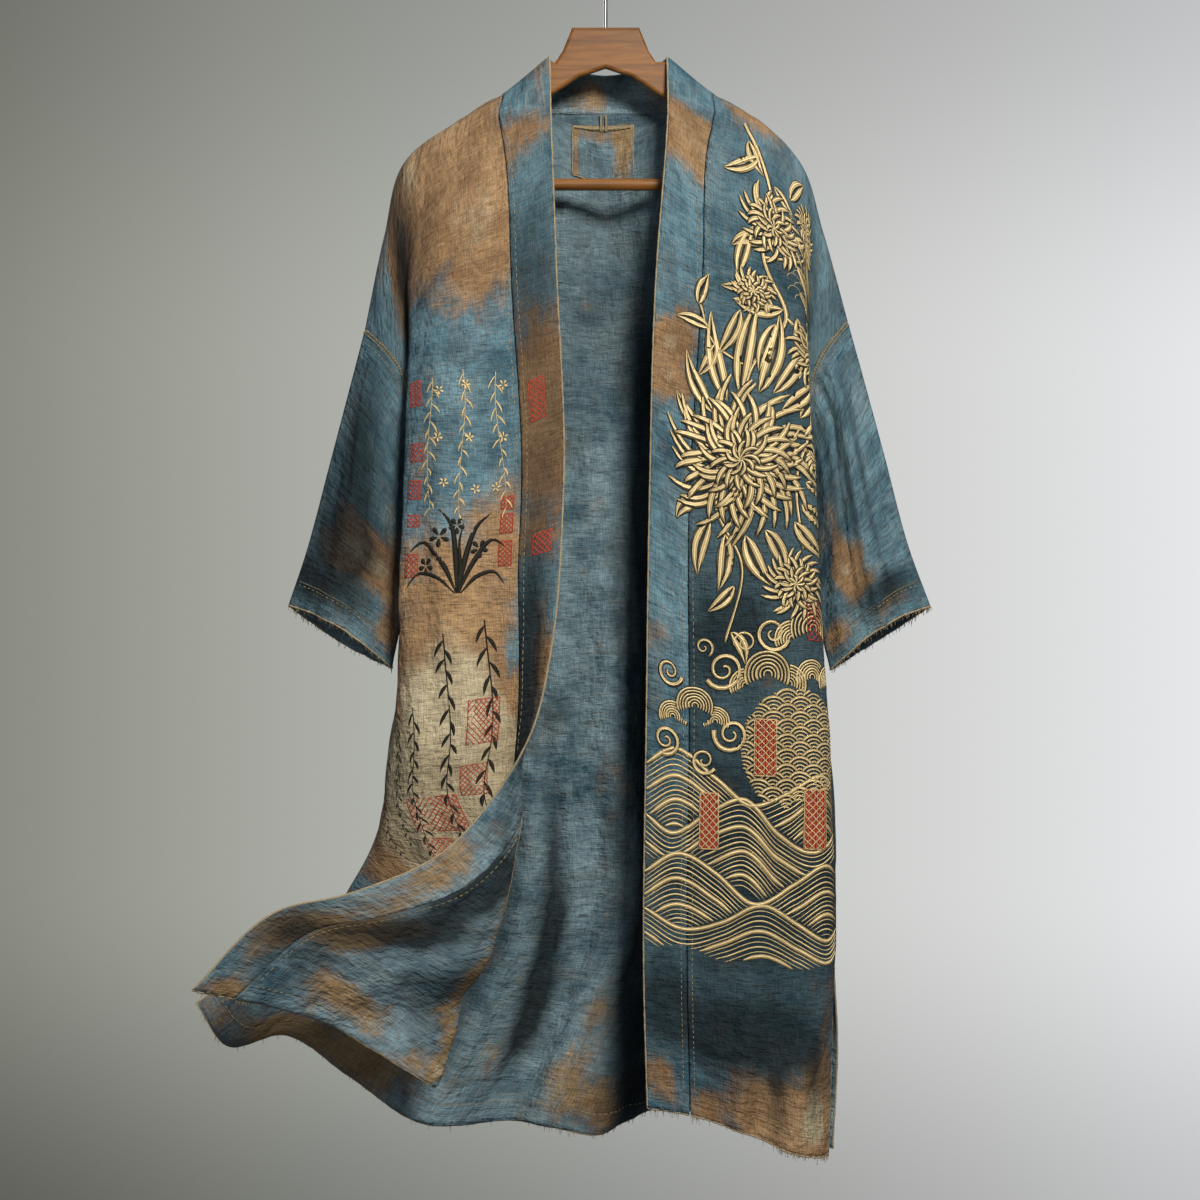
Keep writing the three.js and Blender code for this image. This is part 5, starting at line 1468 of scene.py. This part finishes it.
ink = Ribbons()
for line, fat in (
    ([(66, 532), (50, 500), (28, 476), (12, 486)], 2.8),
    ([(66, 532), (58, 492), (46, 460), (32, 448)], 3.3),
    ([(68, 532), (70, 490), (78, 458), (94, 442)], 3.1),
    ([(68, 532), (86, 498), (108, 480), (124, 492)], 2.8),
    ([(70, 532), (92, 514), (112, 512), (126, 526)], 2.1),
    ([(64, 532), (44, 514), (26, 510), (14, 524)], 2.3),
    ([(67, 532), (64, 506), (66, 478), (62, 456)], 1.9),
):
    ink.lay(right_place, bend(line, 16), tapered(16, fat, 0.06, 0.35), 0.15)
for centre, radius in (((44, 486), 10), ((88, 474), 11), ((70, 462), 9), ((102, 504), 9)):
    blossom(ink, centre, radius, 2.6)
for top, length, blade, fat in (
    ((38, 560), 196, 24, 2.3), ((84, 572), 236, 22, 2.1), ((120, 640), 196, 17, 1.6),
    ((146, 500), 92, 14, 1.2), ((148, 632), 170, 14, 1.2), ((58, 770), 84, 18, 1.7),
    ((166, 680), 150, 13, 1.1),
):
    twig(ink, top, length, 5, blade, fat)
ink.build("ink_orchid_and_twigs", black_ink)

red = Ribbons()
for corner, wide, tall, line, step in (
    ((108, 300), 17, 30, 0.62, 5.5), ((110, 374), 15, 20, 0.62, 5.5),
    ((111, 415), 15, 20, 0.62, 5.5), ((112, 452), 14, 12, 0.62, 5.5),
    ((112, 492), 14, 22, 0.62, 5.5), ((8, 432), 14, 13, 0.62, 5), ((8, 450), 14, 20, 0.62, 5),
    ((8, 478), 14, 26, 0.62, 5), ((-30, 322), 19, 42, 0.66, 6),
    ((-38, 480), 22, 20, 0.66, 6), ((22, 640), 36, 44, 0.5, 6), ((30, 706), 30, 34, 0.5, 6),
    ((66, 738), 62, 44, 0.6, 7), ((96, 792), 30, 40, 0.5, 6),
):
    lattice(red, right_place, corner, wide, tall, line, step)
red.build("red_blocks_right", red_print)
# On the wearer's left front the blocks are filled with rows of red thread under a lattice of
# gold thread, all but one, which is only a lattice.
red, gilt = Ribbons(), Ribbons()
fill_rows = 8
for corner, wide, tall, filled in (((72, 684), 23, 60, True), ((12, 762), 21, 58, True),
                                   ((130, 758), 25, 62, True), ((132, 556), 18, 42, False)):
    x, y = corner
    for k in range(fill_rows if filled else 0):
        middle = x + wide * (k + 0.5) / fill_rows
        red.lay(lambda p, lift: left_place(p, lift + 0.8),
                bend([(middle, y - 1), (middle, y + tall + 1)], 30), wide / fill_rows / 2 + 0.15, 0.1)
    lattice(gilt if filled else red, lambda p, lift: left_place(p, lift + (1.05 if filled else 0.6)),
            corner, wide, tall, 0.55, 8.0)
red.build("red_blocks_left", red_print)
gilt.build("gold_lattice_left", gold_thread)


# Edges: each free edge of the linen is turned under and rolled. Wear has rubbed the dye off
# its rim, so it shows the undyed straw colour, matt and uneven.
worn_rim = thread_material("worn_linen_rim", "#695D49", "#AD9E80", 2.6, 0.9, depth=0.35)


def rim(bag, points, radius=1.15):
    """Rolled edge: a six-sided cord along points in space, closed at its ends."""
    points = np.asarray(points, float)
    way = directions(points)
    slanting = [0.13, 1.0, 0.21]
    side = np.cross(way, slanting)
    side /= np.maximum(1e-9, np.linalg.norm(side, axis=1, keepdims=True))
    other = np.cross(way, side)
    sides = 6
    n, first = len(points), bag.count
    wobble = 1 + 0.16 * np.sin(np.arange(n) * 1.7) + 0.1 * np.sin(np.arange(n) * 0.63)
    turn = np.arange(sides) * 2 * np.pi / sides
    ring = (side[:, None] * np.cos(turn)[None, :, None]
            + other[:, None] * np.sin(turn)[None, :, None]) * (radius * wobble)[:, None, None]
    bag.points.append((points[:, None] + ring).reshape(-1, 3))
    ids = first + np.arange(n * sides).reshape(n, sides)
    for k in range(sides):
        m = (k + 1) % sides
        bag.faces += np.stack([ids[:-1, k], ids[1:, k], ids[1:, m], ids[:-1, m]], 1).tolist()
    bag.faces += [ids[0].tolist(), ids[-1, ::-1].tolist()]
    bag.uvs.append(np.stack([np.repeat(running_length(points)[:, None], sides, 1),
                             np.broadcast_to(turn * radius, (n, sides))], -1).reshape(-1, 2))
    bag.count += n * sides


edges = Ribbons()
for panel in ("collar_right", "collar_left"):
    rim(edges, robe[panel]["grid"][2:, -1])
for panel in ("front_right", "front_left", "back"):
    info = robe[panel]
    rim(edges, info["grid"][-1], 1.25)
    slit = info["v"] > SLIT_TOP
    for column_at in ((0,) if panel != "back" else (0, -1)):
        rim(edges, info["grid"][slit, column_at], 1.0)
for side in ("right", "left"):
    rim(edges, robe["collar_" + side]["grid"][-1], 1.3)
    rim(edges, robe["sleeve_" + side]["grid"][-1], 1.35)
edges.build("rolled_edges", worn_rim)

# Crest of the wind-folded front: a narrow pale line of the same worn linen on the face that shows,
# partly yarns rubbed pale where they stand proud along the fold, partly a painted highlight where
# the crest catches the light.
info = robe["front_right"]
_, _, marks = front_curves("right", info["v"])
crest_rows = (info["v"] > 0.6) & (info["v"] < 0.995)
crest = Ribbons()
places = np.stack([info["wide"] - np.array([m[TURN_MARK] for m in marks]),
                   info["v"] * BODY_LENGTH], 1)
crest.lay(lambda p, lift: on_cloth("front_right", p, lift), places[crest_rows][::2], 1.5, 0.3,
          -0.85)
crest.build("fold_crest_wear_and_painted_highlight", worn_rim)


# Sleeve seams: the raw edges of the panels stand out from each armhole as a narrow frayed
# welt, darker than the linen, and a line of the same runs round the cuff where it turns up.
raw_edge = thread_material("raw_seam_edge", "#2C3233", "#8A8268", 3.4, 0.9, depth=0.5)
welts = Ribbons()
CUFF_LINE = 297.0
for side in ("right", "left"):
    top = robe["sleeve_" + side]["grid"][0]
    outward = -1 if side == "right" else 1
    rim(welts, top + [-outward * 1.2, 0, 0.8], 1.9)
    rim(welts, top + [outward * 1.4, 0, -1.6], 1.2)
    cuff_line = np.stack([np.linspace(3, SLEEVE_CUT - 3, 70), np.full(70, CUFF_LINE)], 1)
    welts.lay(lambda p, lift: on_cloth("sleeve_" + side, p, lift), cuff_line, 0.8, 0.3, 0.8)
welts.build("sleeve_welts", raw_edge)


# Topstitching: running stitches of waxed linen thread beside the hems, cuffs and band seams,
# sewn by hand, so that no two are quite as long or in one line.
sewing_thread = thread_material("waxed_linen_thread", "#6E5C40", "#C2AC80", 1.2, 0.8, depth=0.4)
stitches = Ribbons()


def running_stitch(panel, path, lift=0.9, length=4.2, gap=3.0, fat=0.42):
    """Stitches of a length and gap along a flat path; lift below 0 puts them inside."""
    path = np.asarray(path, float)
    run = running_length(path)
    for start in np.arange(1.5, run[-1] - length, length + gap):
        at = start + np.array([0, 0.33, 0.67, 1]) * length * rng.uniform(0.85, 1.15)
        dash = np.stack([np.interp(at, run, path[:, k]) for k in (0, 1)], 1)
        dash += rng.uniform(-0.18, 0.18, (1, 2))
        stitches.lay(lambda p, up: on_cloth(panel, p, up), dash, fat, 0.35, lift)


level = lambda a0, a1, b, count=30: np.stack([np.linspace(a0, a1, count), np.full(count, b)], 1)
upright = lambda a, b0, b1, count=60: np.stack([np.full(count, a), np.linspace(b0, b1, count)], 1)
running_stitch("back", level(6, 854, 1128, 90), -2.1)
running_stitch("front_left", level(4, 178, 1127))
running_stitch("front_right", level(4, 300, 1127, 60), -2.1)
running_stitch("front_left", upright(5, 60, 1120))
running_stitch("front_right", upright(5, 60, 700))
running_stitch("front_right", upright(6, 760, 1120), -0.9)
running_stitch("collar_left", upright(-6, 60, 1120), 1.3)
running_stitch("collar_right", upright(-6, 60, 700), 1.3)
for side in ("right", "left"):
    running_stitch("sleeve_" + side, level(4, 326, 301, 60), 0.9)
    running_stitch("sleeve_" + side, level(4, 326, 12, 60), 0.9)
stitches.build("topstitching", sewing_thread)


# Frayed yarns: single linen yarns that have worked loose and hang from worn hems, cuffs and
# raw seams, thickest where the edge is most worn.
fray = Ribbons()


def yarn(start, way, length, radius=0.36):
    """One loose yarn from a point in space: it leaves along way and bends down."""
    t = np.linspace(0, 1, 7)
    way = np.array(way, float) / np.linalg.norm(way)
    bow = rng.normal(0, 0.32, 3) * length
    path = (np.array(start) + way * (length * t)[:, None] * (1 - 0.35 * t)[:, None]
            + np.array([0, 0, -0.55 * length]) * (t ** 2)[:, None]
            + bow * (t * (1 - t))[:, None] * np.array([1, 0.6, 0.5]))
    side = np.cross(np.gradient(path, axis=0), [0.1, 1, 0.2])
    side /= np.maximum(1e-9, np.linalg.norm(side, axis=1, keepdims=True))
    fat = radius * (1 - 0.5 * t)[:, None]
    fray.add(path - side * fat, path + np.array([0, -1.0, 0]) * fat, path + side * fat,
             t * length, np.full(7, radius))


def fringe(points, count, short, long, spread=0.5, clumps=()):
    """Loose yarns along an edge; clumps are (place, width, how many more)."""
    points = np.asarray(points, float)
    n = len(points)
    at = list(rng.uniform(0, n - 2, count))
    for place, width, more in clumps:
        at += list(np.clip(rng.normal(place * n, width * n, more), 0, n - 2))
    for x in at:
        i = int(x)
        p = points[i] + (points[i + 1] - points[i]) * (x - i)
        yarn(p, (rng.normal(0, spread), rng.normal(-0.1, 0.25), -1),
             rng.uniform(short, long) * rng.uniform(0.5, 1))


fringe(robe["back"]["grid"][-1], 50, 2, 8, 0.6,
       ((0.03, 0.015, 16), (0.55, 0.03, 16), (0.7, 0.03, 20), (0.64, 0.02, 10)))
fringe(robe["front_left"]["grid"][-1], 36, 2, 9, 0.6, ((0.04, 0.03, 16), (0.35, 0.04, 22),
                                                       (0.95, 0.03, 12)))
fringe(robe["front_right"]["grid"][-1], 24, 2, 7, 0.5, ((0.96, 0.02, 20), (0.02, 0.02, 8)))
fringe(robe["collar_left"]["grid"][-1], 14, 2, 9)
fringe(robe["collar_right"]["grid"][-1], 14, 2, 6, 0.6)
for side, clumps in (("right", ((0.02, 0.03, 16), (0.45, 0.05, 20), (0.9, 0.04, 18))),
                     ("left", ((0.02, 0.03, 30), (0.2, 0.06, 30), (0.42, 0.05, 34),
                               (0.9, 0.06, 24)))):
    ring = robe["sleeve_" + side]["grid"]
    fringe(ring[-1], 80, 2, 8, 0.7, clumps)
    fringe(ring[0] + [0, -1.5, 1.5], 90, 1.5, 5, 1.2)
fringe(robe["front_left"]["grid"][robe["front_left"]["v"] > SLIT_TOP, 0], 26, 2, 6, 0.9)
fringe(robe["front_right"]["grid"][robe["front_right"]["v"] > SLIT_TOP, 0], 22, 2, 6, 0.9)
fray.build("frayed_yarns", worn_rim)


# Patch inside the back neck: a torn square of the same linen, sewn on by hand with its raw
# edges frayed, a straw-coloured tape over its head and a hanging loop of the same tape.
PATCH_RIGHT = -38.5
PATCH_LEFT = 33.5
PATCH_WIDE = 72
middle_part = slice(60, 130)
back_rows = robe["back"]["flat"][:, 0, 1]
back_flat = lambda x, b: np.interp(
    x, robe["back"]["grid"][int(np.searchsorted(back_rows, b)), middle_part, 0],
    robe["back"]["flat"][0, middle_part, 0])
across = np.linspace(PATCH_RIGHT, PATCH_LEFT, 40)
down = np.linspace(0.016, 0.069, 34) * BODY_LENGTH


def level_b(x, b):
    """The place along the back's warp that is as high as warp place b at the patch's sides."""
    steps = np.linspace(b - 16, b + 4, 41)
    heights = on_cloth("back", [(back_flat(x, s), s) for s in steps], 0)[0][:, 2]
    sides = on_cloth("back", [(back_flat(e, b), b) for e in (PATCH_RIGHT, PATCH_LEFT)], 0)[0]
    wanted = sides[0, 2] + (sides[1, 2] - sides[0, 2] + 3.0) * (x - PATCH_RIGHT) / PATCH_WIDE
    return float(np.interp(-wanted, -heights, steps))


raised = np.array([level_b(x, down[0]) - down[0] for x in across])
places = np.array([[(back_flat(x, b + dip * share), b + dip * share)
                    for x, dip in zip(across, raised)]
                   for b, share in zip(down, np.linspace(1, 0, 34))])
middle, _ = on_cloth("back", places.reshape(-1, 2), -(WALL / 2 + 0.9))
grid = middle.reshape(34, 40, 3)
flat = np.stack(np.broadcast_arrays(across[None, :] + 36, (down - down[0])[:, None]), -1)
ragged = 0.7 * crumple(flat[..., 0] * 4, flat[..., 1] * 4, 11, 13, 71)
border = 1 - near_edges((across - PATCH_RIGHT)[None, :] / PATCH_WIDE * np.ones((34, 1)),
                        np.linspace(0, 1, 34)[:, None] * np.ones((1, 40)), 0.05, 0.05)
grid = grid + np.stack([ragged * border * 1.2, -0.5 * np.abs(ragged), ragged * border], -1)
half = np.full(grid.shape[:2], 0.55)
dye_and_shade = [
    {"a": 58, "b": 30, "wide": 12, "tall": 40, "tan": 0.75},
    {"a": 2, "b": 30, "wide": 4, "tall": 60, "tan": 0.7},
    {"a": 20, "b": 12, "wide": 30, "tall": 10, "tan": 0.4},
]
neck_patch = cloth_object("cloth_neck_patch", grid, flat, [half, half], -1, (dye_and_shade, dye_and_shade))
neck_patch.data.materials.append(robe_linen)
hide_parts("neck_patch")

trim = Ribbons()
inner = lambda p, lift: on_cloth("back", p, lift)
to_back = lambda points: np.array([(back_flat(x, b), b) for x, b in points])
along_head = lambda x, b: (x, b + np.interp(x, across, raised))
tape_top = down[0] + 3.5
tape_line = [along_head(x, tape_top) for x in np.linspace(-37, 30, 40)]
trim.lay(inner, to_back(tape_line), 3.2, 0.7, -2.9)
trim.lay(inner, to_back(bend([(-37.5, down[0] + 2), (-38.5, down[-1] - 1)], 40)), 1.0, 0.5, -2.6)
trim.lay(inner, to_back(bend([(33, down[0] + 2), (33.5, down[-1] - 1)], 40)), 0.7, 0.4, -2.6)
trim.lay(inner, to_back(bend([(-38, down[-1]), (33, down[-1])], 40)), 0.8, 0.4, -2.6)
for x in (-5.5, 0.5):
    loop = bend([(x, 1.5), (x + 0.3, 0.5 * tape_top), along_head(x, tape_top + 4)], 12)
    trim.lay(inner, to_back(loop), 1.3, 0.7, -4.2)
trim.build("neck_tape_and_loop", worn_rim)
tape_stitches = Ribbons()
for x in np.arange(-35, 30, 5.2):
    for drop in (-1.4, 2.2):
        stitch = [along_head(x + step, tape_top + drop + rise)
                  for step, rise in ((0, 0), (1.4, 0.15), (2.9, 0))]
        tape_stitches.lay(inner, to_back(stitch), 0.4, 0.5, -3.7)
tape_stitches.build("neck_tape_stitches", sewing_thread)


# Hanger: a thick shaped head and arms and a dowel bar, all beech under satin varnish, warm
# brown with a low, broad shine. The hook is bright drawn steel wire screwed into the head.
def beech(name, grain):
    """grain holds grains per metre along x, y and z: long along the length of the wood."""
    material, tree = fresh_material(name)
    out = node(tree, "ShaderNodeOutputMaterial")
    shade = node(tree, "ShaderNodeBsdfPrincipled", inputs={
        "Roughness": 0.5, "Specular IOR Level": 0.25, "Coat Weight": 0.08,
        "Coat Roughness": 0.3})
    tree.links.new(shade.outputs[0], out.inputs[0])
    where = node(tree, "ShaderNodeTexCoord").outputs["Object"]
    stretched = node(tree, "ShaderNodeMapping", inputs={"Vector": where, "Scale": grain})
    rings = node(tree, "ShaderNodeTexNoise", inputs={
        "Vector": stretched.outputs[0], "Scale": 1.0, "Detail": 5.0, "Roughness": 0.6,
        "Distortion": 0.6})
    ramp = node(tree, "ShaderNodeValToRGB", inputs={"Fac": rings.outputs[0]})
    ramp.color_ramp.elements[0].position = 0.3
    ramp.color_ramp.elements[0].color = hex_colour("#50300F")
    ramp.color_ramp.elements[1].position = 0.72
    ramp.color_ramp.elements[1].color = hex_colour("#875824")
    flecks = node(tree, "ShaderNodeTexNoise", inputs={
        "Vector": node(tree, "ShaderNodeMapping", inputs={
            "Vector": where, "Scale": [g * 5 for g in grain]}).outputs[0],
        "Scale": 1.0, "Detail": 2.0})
    fleck = node(tree, "ShaderNodeMapRange", inputs={
        "Value": flecks.outputs[0], "From Min": 0.6, "From Max": 0.7, "To Max": 0.35})
    tree.links.new(node(tree, "ShaderNodeMix", {"data_type": "RGBA"}, {
        0: fleck.outputs[0], 6: ramp.outputs[0], 7: hex_colour("#5E3A1F")}).outputs[2],
        shade.inputs["Base Color"])
    bump = node(tree, "ShaderNodeBump", inputs={
        "Height": rings.outputs[0], "Strength": 0.15, "Distance": 0.0005})
    tree.links.new(bump.outputs[0], shade.inputs["Normal"])
    return material


steel, tree = fresh_material("bright_drawn_steel")
tree.links.new(
    node(tree, "ShaderNodeBsdfPrincipled", inputs={
        "Base Color": hex_colour("#8E9092"), "Metallic": 1.0, "Roughness": 0.3}).outputs[0],
    node(tree, "ShaderNodeOutputMaterial").inputs[0])
hanger_finishes = {
    "hanger_wood": beech("varnished_beech_head", (9, 60, 110)),
    "hanger_bar": beech("varnished_beech_dowel", (8, 120, 120)),
    "hanger_hook": steel,
}
for name, finish in hanger_finishes.items():
    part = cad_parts[name]
    part.data.materials.clear()
    part.data.materials.append(finish)
    bpy.ops.object.select_all(action="DESELECT")
    part.select_set(True)
    bpy.context.view_layer.objects.active = part
    bpy.ops.object.shade_smooth_by_angle(angle=math.radians(38))
    part.select_set(False)


# Plain grey wall behind. It glows by itself, and its light is painted: lighter towards the
# viewer's right, dimmer towards its top and its foot, most at the foot on the left. It isn't
# part of the robe, and only its front shows, so that the back of the robe can be seen past it.
WALL_SIZE = 4.0
WALL_BEHIND = 1.1
bpy.ops.mesh.primitive_plane_add(size=1, location=(0, WALL_BEHIND, -0.74),
                                 rotation=(math.pi / 2, 0, 0))
wall = bpy.context.object
wall.name = "wall"
wall.scale = (WALL_SIZE, WALL_SIZE, 1)
paint, tree = fresh_material("grey_wall_painted_light")
where = node(tree, "ShaderNodeTexCoord").outputs["Object"]
split = node(tree, "ShaderNodeSeparateXYZ", inputs={"Vector": where})
# Painted light across the wall: dull grey on the viewer's left, near white on the right.
across_wall = node(tree, "ShaderNodeMapRange", inputs={
    "Value": split.outputs[0], "From Min": -0.224, "From Max": 0.224})
tone = node(tree, "ShaderNodeValToRGB", inputs={"Fac": across_wall.outputs[0]})
tone.color_ramp.elements[0].color = hex_colour("#8B8C83")
tone.color_ramp.elements[1].color = hex_colour("#E6E7E9")
for place, shade in ((0.2, "#A4A69E"), (0.5, "#BEC0BC"), (0.8, "#D6D7D6")):
    tone.color_ramp.elements.new(place).color = hex_colour(shade)
# Painted shade: the glow dims towards the wall's top, and more towards its foot, most on the left.
rise = node(tree, "ShaderNodeMapRange", {"interpolation_type": "SMOOTHSTEP"}, {
    "Value": split.outputs[1], "From Min": 0.08, "From Max": 0.25, "To Min": 1.0, "To Max": 0.66})
foot = node(tree, "ShaderNodeMapRange", inputs={
    "Value": split.outputs[0], "From Min": -0.2, "From Max": 0.2, "To Min": 0.42, "To Max": 0.66})
painted_shade_low = node(tree, "ShaderNodeMapRange", {"interpolation_type": "SMOOTHSTEP"}, {
    "Value": split.outputs[1], "From Min": -0.25, "From Max": -0.1, "To Min": foot.outputs[0],
    "To Max": 1.0})
painted_shade_top_and_low = node(tree, "ShaderNodeMath", {"operation": "MULTIPLY"}, {
    0: rise.outputs[0], 1: painted_shade_low.outputs[0]})
# The wall glows with this painted light; it is no lamp and lights nothing else.
shine = node(tree, "ShaderNodeEmission", inputs={
    "Color": tone.outputs[0], "Strength": painted_shade_top_and_low.outputs[0]})
behind = node(tree, "ShaderNodeNewGeometry").outputs["Backfacing"]
clear = node(tree, "ShaderNodeBsdfTransparent")
seen = node(tree, "ShaderNodeMixShader", inputs={0: behind, 1: shine.outputs[0],
                                                 2: clear.outputs[0]})
tree.links.new(seen.outputs[0], node(tree, "ShaderNodeOutputMaterial").inputs[0])
wall.data.materials.append(paint)
wall.visible_diffuse = False
wall.visible_glossy = False
wall.visible_shadow = False


# Light: a soft window at the viewer's right front, a weak fill from the left, one lamp above
# and one behind the robe, and a dim grey room all round.
bpy.context.scene.view_settings.view_transform = "Standard"
world = bpy.data.worlds.new("room")
bpy.context.scene.world = world
world.use_nodes = True
world.node_tree.nodes["Background"].inputs[0].default_value = hex_colour("#B4B8BC")
world.node_tree.nodes["Background"].inputs[1].default_value = 0.24
for name, place, aim, size, power, colour in (
    ("window", (0.7, -2.75, 0.75), (0, 0, -0.8), 0.6, 122, "#FFF8EE"),
    ("fill", (-1.2, -3.2, -0.3), (0, 0, -0.8), 1.8, 12, "#E8EEF5"),
    ("top", (0.5, -0.3, 1.5), (0, 0, -0.6), 0.9, 14, "#FFFFFF"),
    ("rear", (-0.9, 2.6, 0.4), (0, 0, -0.7), 1.5, 34, "#F2F5F8"),
):
    bpy.ops.object.light_add(type="AREA", location=place)
    lamp = bpy.context.object
    lamp.name = name
    lamp.data.size = size
    lamp.data.energy = power
    lamp.data.color = hex_colour(colour)[:3]
    way = np.array(aim, float) - place
    lamp.rotation_euler = (
        math.acos(-way[2] / np.linalg.norm(way)), 0, math.atan2(way[1], way[0]) - math.pi / 2)
